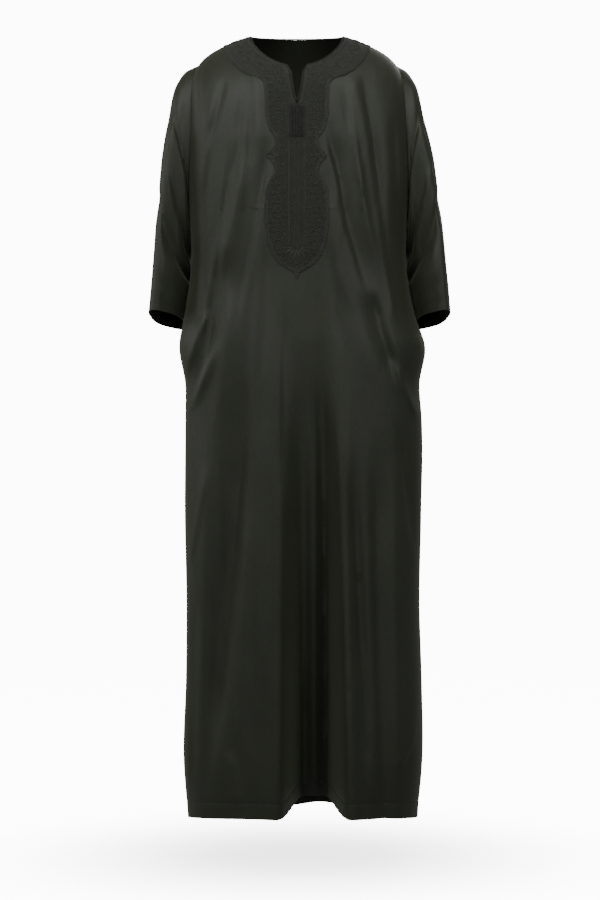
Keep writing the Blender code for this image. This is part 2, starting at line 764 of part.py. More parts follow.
def make_slit_cords(front, material, collection):
    """Five cords side by side on the plaque, raised over a plain inside."""
    cells = grid_cells(front["halves"][LEFT]) + grid_cells(front["halves"][RIGHT])
    faces = pick_diagonals(front["points"], cells)
    ground = BVHTree.FromPolygons([Vector(p) for p in front["points"]], faces)
    profile = []
    for n in range(CORD_COUNT):
        start = (n - CORD_COUNT / 2) * CORD_PITCH
        profile += [(start, CORD_BASE), (start + CORD_PITCH * CORD_SHOULDER, CORD_HEIGHT)]
        profile += [(start + CORD_PITCH * (1 - CORD_SHOULDER), CORD_HEIGHT)]
    profile.append((CORD_COUNT / 2 * CORD_PITCH, CORD_BASE))
    stand_off = SEAM + EMBROIDERY + CORD_LIFT
    outer = []
    inner = []
    for drop in np.linspace(CORD_TOP, CORD_END, CORD_ROWS):
        for x, height in profile:
            hit = ground.ray_cast(Vector((x, -1, -drop)), Vector((0, 1, 0)))[0]
            inner.append((x, hit.y - stand_off, -drop))
            outer.append((x, hit.y - stand_off - height, -drop))
    across = len(profile)
    ids = [[r * across + n for n in range(across)] for r in range(CORD_ROWS)]
    outer = np.array(outer)
    faces = pick_diagonals(outer, grid_cells(ids))
    make_shell("slit_cords", outer, np.array(inner), faces, material, collection)


def main():
    for obj in list(bpy.data.objects):
        bpy.data.objects.remove(obj)
    garment = bpy.data.collections.new("thobe")
    cutters = bpy.data.collections.new("cutters")
    bpy.context.scene.collection.children.link(garment)
    bpy.context.scene.collection.children.link(cutters)
    satin = make_material("charcoal_satin", (0.034, 0.035, 0.028), 0.42)
    sleeve_satin = make_material("charcoal_satin_sleeves", (0.036, 0.037, 0.030), 0.42)
    thread = make_material("matt_thread", (0.022, 0.023, 0.019), 0.85)
    cord = make_material("round_cord", (0.027, 0.028, 0.023), 0.70)
    pocketing = make_material("pocket_cotton", (0.020, 0.020, 0.018), 0.90)
    rows = make_levels()
    front = make_panel("front_panel", FRONT, FRONT_HALF, rows, satin, garment)
    back = make_panel("back_panel", BACK, BACK_HALF, rows, satin, garment)
    for label, side in (("left", LEFT), ("right", RIGHT)):
        make_sleeve("sleeve_" + label, side, front, back, sleeve_satin, garment)
        make_pocket("pocket_" + label, side, front, back, pocketing, garment)
    make_piping(front, back, cord, garment)
    make_front_embroidery(front, thread, garment, cutters)
    make_layer("embroidery_back", back, band_level(), SEAM, EMBROIDERY, thread, garment)
    make_slit_cords(front, cord, garment)


main()
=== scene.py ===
"""Looks of a collarless North African thobe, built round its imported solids.

Each piece is thin cloth, cord or thread on the form of the solid that it stands for. Metres,
Z up, X to the right as seen from the front, the front faces -Y. The origin is the base of the
neck on the shoulder line, and a drop is a distance down from there.
"""

import math

import bmesh
import bpy
import numpy as np
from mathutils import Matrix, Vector
from mathutils.bvhtree import BVHTree


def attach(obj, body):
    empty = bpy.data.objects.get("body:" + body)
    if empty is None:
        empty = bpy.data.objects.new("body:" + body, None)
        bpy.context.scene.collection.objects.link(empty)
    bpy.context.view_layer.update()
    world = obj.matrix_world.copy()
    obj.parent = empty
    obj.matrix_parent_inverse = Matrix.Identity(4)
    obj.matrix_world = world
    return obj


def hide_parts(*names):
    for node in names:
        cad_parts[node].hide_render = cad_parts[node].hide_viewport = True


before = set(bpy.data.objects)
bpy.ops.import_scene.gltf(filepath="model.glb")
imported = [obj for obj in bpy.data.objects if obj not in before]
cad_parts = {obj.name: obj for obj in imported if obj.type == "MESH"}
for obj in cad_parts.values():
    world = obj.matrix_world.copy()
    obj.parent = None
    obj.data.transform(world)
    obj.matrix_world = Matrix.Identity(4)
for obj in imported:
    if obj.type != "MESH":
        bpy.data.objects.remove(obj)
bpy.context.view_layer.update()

FRONT = -1
BACK = 1
LEFT = -1
RIGHT = 1
TAU = 2 * math.pi

# Cloth: one layer, a turned hem of two, and the gap at seams
CLOTH = 0.0008
TURNED = 0.0018
SEAM = 0.0003
GROUND = 0.0007

# Main drops and the neck's size
HEM_DROP = 1.434
HEM_RISE = 0.022
HEM_RISE_TOP = 1.1
NOTCH_RISE = 0.020
YOKE_DROP = 0.20
NECK_HALF = 0.0875
NECK_FRONT = 0.080
NECK_BACK = 0.060
NECK_DIP = 0.0695
NECK_RISE = 0.006
NECK_CURVE = 1.3
SLIT_END = 0.1435

# The loop of control points that rounds the shoulders over
SHOULDER_LEFT = 0.205
SHOULDER_RIGHT = 0.206
SHOULDER_DROP = 0.038
SHOULDER_FRONT = 0.110
SHOULDER_BACK = 0.104
CHEST_DROP = 0.105
NAPE_DROP = 0.050
NECK_PULL = 0.90
FOOT_PULL = 0.86
SQUARENESS = 2.6
SIDE_FADE = 0.45

# Openings that part the side edges: drops of the two ends, half width
ARMHOLE = (0.054, 0.331, 0.055)
POCKET = (0.525, 0.690, 0.017)

# The deep fold between the legs
VALLEY_TOP = 0.56
VALLEY_DEPTH = 0.125
VALLEY_GROWTH = 1.3
VALLEY_LEFT = (-0.042, 0.012)
VALLEY_RIGHT = (0.050, 0.100)
VALLEY_CURVE = 1.7
VALLEY_SIDE = 0.012
VALLEY_START = 0.25

# Turned hems and how far their stitches lie from the edge
HEM_BAND = 0.028
CUFF_BAND = 0.017
MOUTH_BAND = 0.006

# Columns across half a panel, rows of the yoke, distance between lower rows, points along a
# row, how near rows and ring points may come, and the digits to which points are one
COLUMNS = 60
YOKE_ROWS = 40
ROW_STEP = 0.0068
DENSE = 400
NORMAL_STEP = 0.0005
END_ANGLES = (0, 5, 10, 16, 23)
END_NEAR = 0.002
LEVEL_NEAR = 0.006
RING_STEP = 4.5
RING_NEAR = 0.02
SHARP = 50
MERGE_DIGITS = 7

# Relief finer than the folds: creases, the pucker round the embroidery, the hem's groove
# and ripple, and the lengths over which they fade in
CREASES = 90
CREASE_REACH = 0.36
CREASE_LEAN = 0.25
CREASE_LENGTHS = (0.04, 0.16)
CREASE_WIDTHS = (0.005, 0.013)
CREASE_HEIGHT = 0.0009
SEEDS = {"front": 5, "back": 6, "left": 11, "right": 12, "pocket": 21}
PUCKER = 0.0005
PUCKER_DROPS = (0.150, 0.460)
PUCKER_PITCH = 0.013
PUCKER_SLANT = 90
PUCKER_REACH = 0.007
GROOVE = 0.0015
HEM_GROOVE = 0.0005
HEM_RIPPLE = 0.0005
RIPPLE_PITCH = 0.021
RIPPLE_SWAY = 2.2
RIPPLE_SWAY_PITCH = 0.031
BACK_BAND = 0.05
CLEAR = 0.02
FADE = 0.03

# Ground of the embroidery: columns and rows, and how far its last row stays off the tip
GROUND_COLUMNS = 26
GROUND_ROWS = 71
GROUND_BACK_ROWS = 24
GROUND_STEP = 0.003
TAIL_STEP = 0.0012
TIP_ROOM = 0.0004

# Chart of the neck band: where it meets the plaque, and its columns and rows
MERGE_X = 0.085
MERGE_DROP = 0.1
BAND_LAST_TURN = 0.45
BAND_TURNS = 136
BAND_BACK_TURNS = 161
BAND_LEVELS = 60
BAND_STEPS = 24

# Shape of every scroll and leaf, and how finely lines are drawn
SCROLL_POINTS = 18
SCROLL_WIND = 0.80
PETAL_POINTS = 19
PETAL_POINT = 0.6
PETAL_FULL = 1.6
LINE_STEP = 0.0012
EDGE_STEP = 0.0015
NECK_STEP = 0.001
NECK_POINTS = 60

# The band's vine, its scrolls, and leaves as length and width
BAND_REPEAT = 0.0235
BAND_SHIFT = 0.0012
VINE = 0.0088
SCROLL = 0.0064
BAND_SCROLL_TURNS = 1.7
BAND_LEAF = (0.0062, 0.0026)
BAND_LEAF_TURNS = (-0.75, 0, 0.75)
BAND_LEAF_APART = 0.004
BAND_LEAF_ROOT = 0.0068

# The plaque's columns of diamonds: leaves as place and length in shares of a cell, and width
COLUMN_TOP = 0.1030
COLUMN_END = 0.3956
COLUMN_INNER = 0.0190
COLUMN_STEP = 0.0011
OUTLINE_ROOM = 0.0066
DIAMOND = 0.0167
CROSS_LEAF = (0.42, 0.52, 0.0034)
CELL_LEAF = (0.48, 0.36, 0.003)
WIDE_CELL = 0.0125
CELL_SCROLL = 0.62
CELL_SCROLL_TURNS = 1.5

# The fan at the plaque's foot, its tail, the buds at the waist and the corner scrolls
FAN_LEAVES = 7
FAN_TOP = 0.4000
FAN_SPREAD = 76
FAN_ROOT = (0.008, 0.006)
FAN_LEAF = (0.031, 0.0078)
FAN_SHORTER = 0.007
FAN_INNER = (0.62, 0.0034)
TAIL_ROOT = 0.034
TAIL_LEAF = (0.016, 0.0040)
BUD = (0.034, 0.237)
BUD_LEAF = (0.013, 0.0042)
BUD_TURNS = (-0.8, 0, 0.8)
CORNER_TURNS = 1.6
CORNER_LEAF = (0.0058, 0.0024)
CORNER_LEAF_TURNS = (-0.6, 0.6)
CORNER_LEAF_OUT = 0.3
CORNER_SCROLLS = (
    (0.0290, 0.0745, 0.0056), (0.0290, 0.0905, 0.0056), (0.0430, 0.0680, 0.0060),
    (0.0430, 0.0835, 0.0060), (0.0445, 0.0975, 0.0044), (0.0565, 0.0765, 0.0058),
    (0.0565, 0.0905, 0.0050), (0.0690, 0.0850, 0.0050),
)

# Lines beside the middle of the plaque, and how far in the cords lie from its edges
CENTRE_LINES = (0.0036, 0.0128, 0.0150)
CENTRE_TOP = 0.2085
CENTRE_END = 0.398
OUTLINE_INSETS = (0.0014, 0.0034, 0.0054)
NECK_INSETS = (0.0036, 0.0058)
THREAD_LIFT = 0.0003
CORD_LIFT = 0.0004

# Cords: radius of a thread of each, how far its threads lie from its middle, one full twist
COUCHED = (0.00062, 0.0, 0.0040)
BORDER = (0.00070, 0.0, 0.0040)
PIPING = (0.00072, 0.00078, 0.0090)
BRAID = (0.00058, 0.00052, 0.0052)
PIPING_REACH = 0.0022
PIPING_STEP = 0.0009
PIPING_END = 0.0078
PIPING_TURN = (205, 240, 270, 300, 335)
BRAID_STEP = 0.0007
SLIT_CORDS = 5
SLIT_CORD_PITCH = 0.0052
SLIT_CORD_TOP = 0.147
SLIT_CORD_END = 0.202
SLIT_CORD_STEP = 0.001

# Stitches: distance between them, length, radius
STITCH = (0.0040, 0.0030, 0.00026)
STITCH_LIFT = 0.00012

# Pitches of the weaves, of flat stitches and of their patches in a metre
WARP_PITCH = 0.0006
WEFT_PITCH = 0.0011
FLAT_STITCH = 0.0009
STITCH_PATCHES = 210

# Noise of the cloth and thread: its changes in a metre, across and down
STREAK = (1700, 45)
CLOUD = (16, 7)
DRAG = (90, 30)
FIBRE = (2600, 2600)
FLUFF = (700, 700)
THREAD_FIBRE = 2400.0

# Tones, dark and light, and sheen of the finishes
SATIN_TONES = ((0.020, 0.0230, 0.0146), (0.032, 0.0364, 0.0236))
MATT_TONES = ((0.018, 0.0200, 0.0142), (0.037, 0.0410, 0.0296))
COUCHED_TONES = ((0.025, 0.0278, 0.0196), (0.066, 0.0720, 0.0534))
CORD_TONES = ((0.015, 0.0166, 0.0116), (0.036, 0.0394, 0.0290))
SEWING_TONES = ((0.014, 0.0152, 0.0112), (0.036, 0.0388, 0.0294))
COTTON_TONES = ((0.010, 0.0102, 0.0088), (0.026, 0.0264, 0.0230))
SATIN_ROUGHNESS = 0.47
SATIN_SHEEN = {
    "Sheen Weight": 0.12, "Sheen Roughness": 0.45, "Sheen Tint": (0.88, 0.97, 0.70, 1),
    "Specular IOR Level": 0.36,
}
MATT_SHEEN = {"Sheen Weight": 0.10, "Sheen Roughness": 0.5, "Specular IOR Level": 0.30}
THREAD_SHEEN = {"Sheen Weight": 0.15, "Sheen Roughness": 0.4, "Specular IOR Level": 0.35}

# Camera, floor and lights
CAMERA_PLACE = (0.0055, -3.6, -0.76)
CAMERA_LENS = 78.26
CAMERA_SENSOR = 36
FLOOR_LEVEL = -1.505
FLOOR_HALF = 4.0
FLOOR_FADE = (0.35, 0.95)
# Painted shadow on the floor under the garment: spread of its ellipse, where it fades out, and how deep
# it is
PAINTED_SHADOW_SPREAD = (0.09, 0.05)
PAINTED_SHADOW_ENDS = (0.1, 2.6)
PAINTED_SHADOW_DEPTH = 0.72
BACKGROUND = 12.0
ROOM_LIGHT = 0.14
LIGHT_AIM = (0, 0, -0.6)
LIGHTS = (
    ("key", (-1.3, -2.2, 1.5), 2.0, 30),
    ("top", (0.2, -1.5, 2.2), 2.0, 25),
    ("front", (0.0, -2.7, 0.9), 1.6, 9),
    ("low", (-0.3, -3.4, -1.0), 1.6, 2.5),
    ("left", (-2.7, -1.6, 0.5), 1.8, 14),
    ("right", (1.9, -2.3, 0.6), 1.8, 18),
    ("back", (1.2, 3.0, 1.4), 2.4, 38),
    ("rim", (-3.2, 0.6, 0.4), 2.0, 16),
)


def table(columns, text):
    """Rows of numbers as named columns."""
    names = columns.split()
    return dict(zip(names, np.array(text.split(), float).reshape(-1, len(names)).T))


BODY = table("drop left right middle front back", """
       .2 -.203 .209    0 .122 .118
      .27 -.202 .208    0 .126 .118
     .331 -.197 .203    0 .128 .115
      .43 -.195 .201    0 .128  .11
     .515 -.207 .217 .001  .13 .112
      .57 -.216 .235 .003 .132  .12
      .64 -.205 .225 .006 .134 .128
       .7 -.205 .229 .009 .134 .132
      .88 -.206 .228 .017 .138  .13
     1.04 -.203 .225 .024 .142  .13
     1.18 -.204 .229 .029 .146 .134
     1.33 -.208  .23 .033  .15  .14
    1.434   -.2 .221 .033  .15 .144
""")

# Cloth edge of the slit: half width at each drop
SLIT = table("drop half", """
     .067   .02
    .0825 .0127
     .099 .0111
     .119  .008
     .136 .0037
    .1435     0
""")

# Folds bend through a middle place; a depth below zero is a trough, and a lean steepens one bank
FOLD_COLUMNS = "x_top x_bend x_end drop_top drop_end depth width lean"
FRONT_FOLDS = table(FOLD_COLUMNS, """
    -.046 -.084 -.116  .19  .57  -.008  .013  .5
    -.078  -.07 -.066  .06  .25   .003  .012   0
    -.084 -.116 -.148  .22   .5   .006  .013 -.4
    -.128 -.144 -.166 .085  .23 -.0045  .007  .3
    -.104 -.136 -.164   .2  .47  -.004  .009  .3
    -.146 -.164 -.178  .11  .32  .0035  .011   0
    -.136 -.152 -.172  .39  .64  -.012  .012 -.4
    -.078  -.09 -.104   .4  .78  -.006  .012  .3
    -.116  -.13 -.134  .46  .74   .005  .012   0
     .052   .09   .14  .15  .52  -.008  .012 -.5
     .086  .116  .158  .14  .48   .005  .012  .3
     .062   .07  .098  .29  .52   .004  .011   0
     .132  .154  .186  .47  .65  -.012  .012  .4
     .114  .138   .16  .07  .35 -.0045  .009 -.3
     .098   .11  .128  .07  .24   .003  .011   0
    -.037 -.033 -.034  .43  1.7   .014  .023  .2
      .01  .012  .013  .62  1.6  -.004  .011   0
      .03  .032  .033  .56  1.6   .007   .01   0
     .036   .05  .054  .44  1.6  -.011  .013  .3
     .074  .088  .104  .52 1.68   .013  .019 -.2
       .1  .114  .132  .76 1.38  -.011  .012  .3
    -.094 -.126 -.186   .6 1.48  -.021  .021  .4
    -.158 -.164 -.176  .64  1.5    .01  .016   0
      .14   .15  .156   .7 1.62  -.013  .016 -.3
     .168  .174  .178  .76 1.55   .006  .014   0
    -.158 -.178   -.2  .78  .99   .004 .0055  .4
      .18  .198  .214   .7  .96  -.005  .008 -.4
     .214  .199  .176 1.26 1.35   .004  .006  .3
    -.158 -.184 -.208 .505  .64   .006  .008  .3
     -.14 -.168   -.2  .56 .705   .006  .007 -.3
     .166  .194  .224  .59 .715  .0065  .007 -.3
     -.02 -.024  -.03  .48   .9  -.004  .008   0
    -.062  -.06 -.066   .7  1.3  .0048  .008  .3
    -.096 -.112 -.132   .1  .44 -.0035  .007  .2
     -.08 -.088 -.104  .12  .42 -.0029  .006 -.2
    -.068 -.074  -.09   .2  .42  .0026  .006   0
    -.122 -.142  -.16  .22  .52  .0032  .006  .2
     -.15 -.164 -.172  .18   .5 -.0038  .007   0
    -.106 -.122 -.142  .16   .5  .0029  .006 -.3
    -.055 -.058 -.062  .38  .64 -.0032 .0065   0
     .082  .098  .114   .1  .36 -.0035 .0065  .2
      .07   .08  .102   .2  .42 -.0029  .006 -.2
     .096  .112  .134  .12  .42  .0029  .006   0
      .13   .15   .17  .16  .48 -.0038  .007  .2
     .172  .178  .182  .14  .42 -.0035  .008   0
      .06  .068  .078  .38   .6 -.0032  .007  .2
     .056  .072   .08 .235  .33  .0035 .0045   0
      .14  .158   .18   .3  .56  .0038  .007 -.2
    -.064  -.06  -.07  .72 1.24 -.0035  .008  .2
    -.088 -.094 -.108  .84 1.38  .0048   .01   0
     -.15  -.14 -.136  .62 1.06  .0048  .009   0
     .094  .106  .112  .78  1.2 -.0035  .007   0
      .15  .154   .16  .84  1.3  .0042  .008  .2
     .128  .134  .138  1.3 1.42   .004  .006   0
     -.18 -.186 -.184    1 1.42 -.0048  .009   0
     -.12 -.112 -.104  1.3 1.43  .0045  .009   0
""")
BACK_FOLDS = table(FOLD_COLUMNS, """
     -.06 -.066 -.075 .18  .62   .007 .018  .3
     .065   .07   .08 .17   .6   .008 .018 -.3
    -.108  -.13 -.168 .12  .42  -.006 .013  .4
     .112  .132   .17 .11  .43  -.007 .013 -.4
     -.02  -.03 -.026 .24   .7  -.005 .013   0
     .018  .024   .03  .3  .74 -.0045 .012  .3
     -.12 -.136  -.15 .42  1.7  -.022 .022  .4
     -.07  -.08 -.085 .56  1.8   .016 .025   0
     -.02 -.014 -.012 .52  1.8   -.03 .024 -.3
     .035  .042  .045  .6  1.8   .012 .023   0
     .092  .094    .1 .48 1.75  -.026 .022  .4
      .15   .16  .165 .62  1.7    .01 .019   0
    -.176 -.172  -.18  .7  1.4   .007 .014  .3
     .006  .016  .022 .82  1.5   .005 .009   0
    -.048  -.05 -.054  .9 1.56  -.006  .01  .3
     .122  .128  .132  .7  1.3   .005 .009   0
      .17   .19  .212  .6  .82  -.006 .009 -.4
    -.165 -.184 -.204 .56   .8  -.006 .009  .4
    -.086   -.1 -.122 .11  .42 -.0024 .007  .2
     -.14 -.152 -.168 .15  .48  .0024 .008   0
     .086  .102  .126 .12   .4  .0022 .007 -.2
     .142  .156  .172 .14  .46 -.0026 .008   0
     -.04 -.046 -.052 .12   .4  .0018 .007   0
     .042   .05  .058 .14  .44  -.002 .007   0
    -.104 -.106 -.112 .76 1.28   .003 .008  .2
     .064  .068   .07  .7 1.24  -.003 .008   0
""")

# Half of the embroidery's outline, from above the shoulder line to the tip of its tail
PLAQUE = table("half drop", """
     .145  -.03
     .134  .028
    .1178   .06
    .1025 .0775
    .0857  .089
    .0681 .0935
    .0598  .102
    .0572  .128
    .0561  .163
    .0498 .1895
    .0382 .2055
    .0391  .219
     .055  .237
    .0415  .252
    .0382  .266
    .0483   .28
    .0555 .2975
    .0579  .328
    .0569 .3595
    .0526 .3885
    .0444 .4125
    .0318  .429
    .0154 .4395
    .0048 .4455
        0 .4575
""")

# Drops of its tip and of the foot of its fan, and half the width of band and neck
PLAQUE_TIP = 0.4575
TAIL_DROP = 0.436
BAND_HALF = 0.134

# Shares of a fold's length over which it rises and dies away
FADE_IN = 0.26
FADE_OUT = 0.34

# Rings of a pocket bag: how far in from the side seam and forward, drop, half height, half width
POCKET_BAG = table("inward forward drop height width", """
    .012    0 .608 .079 .0165
    .045 .018 .622 .077  .016
    .082  .04 .646  .07  .015
    .112 .056 .668 .052  .012
    .126 .062  .68 .028  .007
    .131 .064 .684 .022 .0012
""")
POCKET_ROWS_PER_RING = 8
POCKET_CREASE = 0.6

# Rings of a sleeve, armhole to cuff: distance from the middle and drop of the outer and the
# inner edge, half the depth front to back, how far the inner edge lies behind the side seam,
# and how much lower the back of the ring hangs
SLEEVE = table("outer_left outer_right outer_drop inner_left inner_right inner_drop depth tuck low", """
     .206  .203 .066 .1975  .204 .345 .061 .006    0
    .2185  .215 .088  .196 .2025 .358 .067 .014    0
    .2265 .2225 .118  .195 .2015 .371 .072 .024    0
    .2345 .2325 .165 .1948 .2012 .384 .077 .034    0
     .243  .245 .218  .195 .2014 .397 .081 .042 .001
    .2505 .2555 .278 .1972  .204 .411 .084 .048 .003
    .2575  .265  .34  .196  .202 .428 .086  .05 .006
     .262  .271 .402 .1978  .205  .45 .087  .05  .01
    .2665  .276 .456 .2015   .21  .48 .088  .05 .014
     .271   .28 .504 .2075  .217 .516 .088  .05 .018
""")
SLEEVE_ROWS_PER_RING = 9

# How much squarer than an ellipse a sleeve's rings are, and the ring that is fully so
SLEEVE_FLAT = 0.42
SLEEVE_FLAT_FROM = 3

# Sleeve folds: around is 0 at the shoulder, 0.5 at the front, 1 under the arm, 1.5 behind
SLEEVE_FOLDS = table(FOLD_COLUMNS, """
     .75  .45   .1  .2  4.4  -.006  .09  .3
      .2  .55  .95   6  8.2 -.0075  .17  .3
     .25  .55   .9 4.8  6.8  .0025  .15   0
     .46  .45  .42   7 12.5   .003  .14   0
     .52   .6   .7  .8  5.2   .003  .08  .3
      .6  .68   .8   3  7.4  -.003  .08  .4
      .4  .52  .62 8.4 10.8  -.002  .08 -.3
      .1  .12   .2   1    7   .003  .06   0
    1.72 1.56  1.4   1    7  -.008 .085  .4
    1.82  1.7 1.56 4.5   10  -.008  .08 -.3
    1.36 1.26 1.12 3.6  8.4  -.006  .06  .3
    1.52 1.48  1.4   5   11   .005  .08   0
     1.9 1.86  1.8  .6    5  .0035  .06   0
""")


def cubic(t, span, ends, slopes):
    """A curve between two values, with its slope given at each."""
    start = (2 * t**3 - 3 * t**2 + 1) * ends[0] + (t**3 - 2 * t**2 + t) * span * slopes[0]
    end = (3 * t**2 - 2 * t**3) * ends[1] + (t**3 - t**2) * span * slopes[1]
    return start + end


def smooth(rows, column, at):
    """A column read at a drop, along a curve with no corners."""
    drops = rows["drop"]
    values = rows[column]
    slopes = np.gradient(values, drops)
    at = np.clip(at, drops[0], drops[-1])
    n = np.clip(np.searchsorted(drops, at) - 1, 0, len(drops) - 2)
    span = drops[n + 1] - drops[n]
    return cubic((at - drops[n]) / span, span, (values[n], values[n + 1]), (slopes[n], slopes[n + 1]))


def ease(value):
    """0 to 1 with a soft start and end."""
    t = np.clip(value, 0, 1)
    return t * t * (3 - 2 * t)


def unit(vectors):
    """Vectors of length one."""
    return vectors / np.linalg.norm(vectors, axis=-1, keepdims=True)


def squarer(wave, power):
    """A sine or cosine changed so that its ring is squarer than an ellipse."""
    return np.sign(wave) * np.abs(wave) ** power


def across_and_out(turn):
    """Unit section of the body: turn 0 is the left side, 0.5 the middle, 1 the right side."""
    power = 2 / SQUARENESS
    return squarer(-np.cos(np.pi * turn), power), np.clip(np.sin(np.pi * turn), 0, 1) ** power


def body_ring(turn, drop, face):
    """Points of the body at a drop, below the yoke."""
    across, out = across_and_out(turn)
    middle = smooth(BODY, "middle", drop)
    left = smooth(BODY, "left", drop)
    right = smooth(BODY, "right", drop)
    depth = smooth(BODY, "front" if face == FRONT else "back", drop)
    x = middle + np.where(across < 0, middle - left, right - middle) * across
    return np.stack([x, face * depth * out, -drop + 0 * x], -1)


def neck_ring(turn, face):
    """Points of the neckline."""
    across = -np.cos(np.pi * turn)
    out = np.clip(np.sin(np.pi * turn), 0, 1)
    reach = NECK_FRONT if face == FRONT else NECK_BACK
    height = -NECK_DIP * out**NECK_CURVE if face == FRONT else NECK_RISE * out
    return np.stack([NECK_HALF * across, face * reach * out, height], -1)


def shoulder_ring(turn, face):
    """Control points over which the yoke turns down."""
    across, out = across_and_out(turn)
    half = np.where(across < 0, SHOULDER_LEFT, SHOULDER_RIGHT)
    reach = SHOULDER_FRONT if face == FRONT else SHOULDER_BACK
    low = CHEST_DROP if face == FRONT else NAPE_DROP
    drop = SHOULDER_DROP + (low - SHOULDER_DROP) * out**2
    return np.stack([half * across, face * reach * out, -drop], -1)


def fold_height(x, drop, folds):
    """How far the folds push the cloth out at a place."""
    total = np.zeros(np.broadcast(x, drop).shape)
    for n in range(len(folds["depth"])):
        run = folds["drop_end"][n] - folds["drop_top"][n]
        t = (drop - folds["drop_top"][n]) / run
        centre = folds["x_top"][n] * (1 - t) * (1 - 2 * t)
        centre = centre + folds["x_bend"][n] * 4 * t * (1 - t)
        centre = centre + folds["x_end"][n] * t * (2 * t - 1)
        away = (x - centre) / folds["width"][n]
        away = away * (1 + folds["lean"][n] * np.tanh(away))
        fade = ease(t / FADE_IN) * ease((1 - t) / FADE_OUT)
        total += folds["depth"][n] * fade * np.exp(-(away**2))
    return total


def between_legs(x):
    """1 in the bed of the fold between the legs, 0 beyond its two banks."""
    left = ease((x - VALLEY_LEFT[0]) / (VALLEY_LEFT[1] - VALLEY_LEFT[0]))
    right = ease((VALLEY_RIGHT[1] - x) / (VALLEY_RIGHT[1] - VALLEY_RIGHT[0]))
    return (left * right) ** VALLEY_CURVE


def valley(x, drop):
    """Depth of the fold between the legs."""
    along = np.clip((drop - VALLEY_TOP) / (HEM_DROP - VALLEY_TOP), 0, 1)
    return VALLEY_DEPTH * along**VALLEY_GROWTH * between_legs(x)


def in_valley(x, drop):
    """1 within the fold between the legs, 0 away from it."""
    left = ease((x - VALLEY_LEFT[0]) / VALLEY_SIDE + 1)
    right = ease((VALLEY_RIGHT[1] - x) / VALLEY_SIDE + 1)
    return left * right * ease((drop - VALLEY_TOP) / VALLEY_START)


def cloth(turn, level, face):
    """Outer face of the body: level 0 is the neckline, 1 the foot of the yoke, 2 the hem."""
    turn, level = np.broadcast_arrays(np.asarray(turn, float), np.asarray(level, float))
    t = np.clip(level, 0, 1)[..., None]
    neck = neck_ring(turn, face)
    over = shoulder_ring(turn, face)
    foot = body_ring(turn, np.full(turn.shape, YOKE_DROP), face)
    near = neck + (over - neck) * NECK_PULL
    far = foot + (over - foot) * FOOT_PULL
    yoke = (1 - t) ** 3 * neck + 3 * (1 - t) ** 2 * t * near
    yoke = yoke + 3 * (1 - t) * t**2 * far + t**3 * foot
    drop = YOKE_DROP + np.clip(level - 1, 0, 1) * (HEM_DROP - YOKE_DROP)
    points = np.where((level > 1)[..., None], body_ring(turn, drop, face), yoke)
    x = points[..., 0]
    drop = -points[..., 2]
    out = across_and_out(turn)[1]
    push = fold_height(x, drop, FRONT_FOLDS if face == FRONT else BACK_FOLDS)
    if face == FRONT:
        push = push - valley(x, drop)
        rise = HEM_RISE * out + NOTCH_RISE * between_legs(x)
        points[..., 2] += rise * ease((drop - HEM_RISE_TOP) / (HEM_DROP - HEM_RISE_TOP))
    points[..., 1] += face * push * ease(out / SIDE_FADE)
    return points


def cloth_normal(turn, level, face):
    """Outward direction of the body's cloth."""
    along = cloth(np.clip(turn + NORMAL_STEP, 0, 1), level, face)
    along = along - cloth(np.clip(turn - NORMAL_STEP, 0, 1), level, face)
    down = cloth(turn, np.clip(level + NORMAL_STEP, 0, 2), face)
    down = down - cloth(turn, np.clip(level - NORMAL_STEP, 0, 2), face)
    return unit(face * np.cross(along, down))


def level_of(drop):
    """Level of a drop below the yoke."""
    return 1 + (drop - YOKE_DROP) / (HEM_DROP - YOKE_DROP)


def yoke_level(turn, drop, face):
    """Level within the yoke at which a column reaches a drop."""
    levels = np.linspace(0, 1, DENSE)
    return float(np.interp(drop, -cloth(turn, levels, face)[:, 2], levels))


def gap_at(drop, below_tip):
    """Half the distance between front and back at the side edges."""
    gap = np.full(np.shape(drop), SEAM / 2)
    for (top, end, half), open_here in ((ARMHOLE, below_tip), (POCKET, True)):
        if open_here:
            from_middle = (drop - (top + end) / 2) / ((end - top) / 2)
            gap = np.maximum(gap, half * np.sqrt(np.clip(1 - from_middle**2, 0, 1)))
    return gap


def crossing(values, places):
    """Place where values first rise above zero."""
    above = np.nonzero(values >= 0)[0]
    if len(above) == 0 or above[0] == 0:
        return places[0]
    n = above[0] - 1
    share = values[n] / (values[n] - values[n + 1])
    return places[n] + share * (places[n + 1] - places[n])


def half_turns(side):
    """Close turns from a side edge to the middle."""
    return np.linspace(0 if side == LEFT else 1, 0.5, DENSE)


def slit_turn(row, turn):
    """Turn at which a row, read from the side, meets the slit."""
    half = np.interp(-row[:, 2], SLIT["drop"], SLIT["half"])
    return crossing((np.abs(row[:, 0]) - half)[::-1], turn[::-1])


def row_ends(level, face, side, tip_level, slit_level):
    """Turns at the side edge and at the middle, or slit, of one half row."""
    turn = half_turns(side)
    row = cloth(turn, level, face)
    gap = gap_at(-row[:, 2], level > tip_level)
    in_slit = face == FRONT and level < slit_level
    return crossing(np.abs(row[:, 1]) - gap, turn), slit_turn(row, turn) if in_slit else 0.5


def even_turns(start, end, level, face, columns):
    """Turns between two ends that lie equal lengths of cloth apart."""
    turn = np.linspace(start, end, DENSE)
    length = lengths(cloth(turn, level, face), 0)
    return np.interp(np.linspace(0, length[-1], columns + 1), length, turn)


def seam_closed(level, tip_level):
    """Whether front and back meet at their side edges in a row."""
    drop = YOKE_DROP + (level - 1) * (HEM_DROP - YOKE_DROP)
    in_armhole = level > tip_level and drop < ARMHOLE[1]
    in_pocket = POCKET[0] < drop < POCKET[1]
    return not in_armhole and not in_pocket


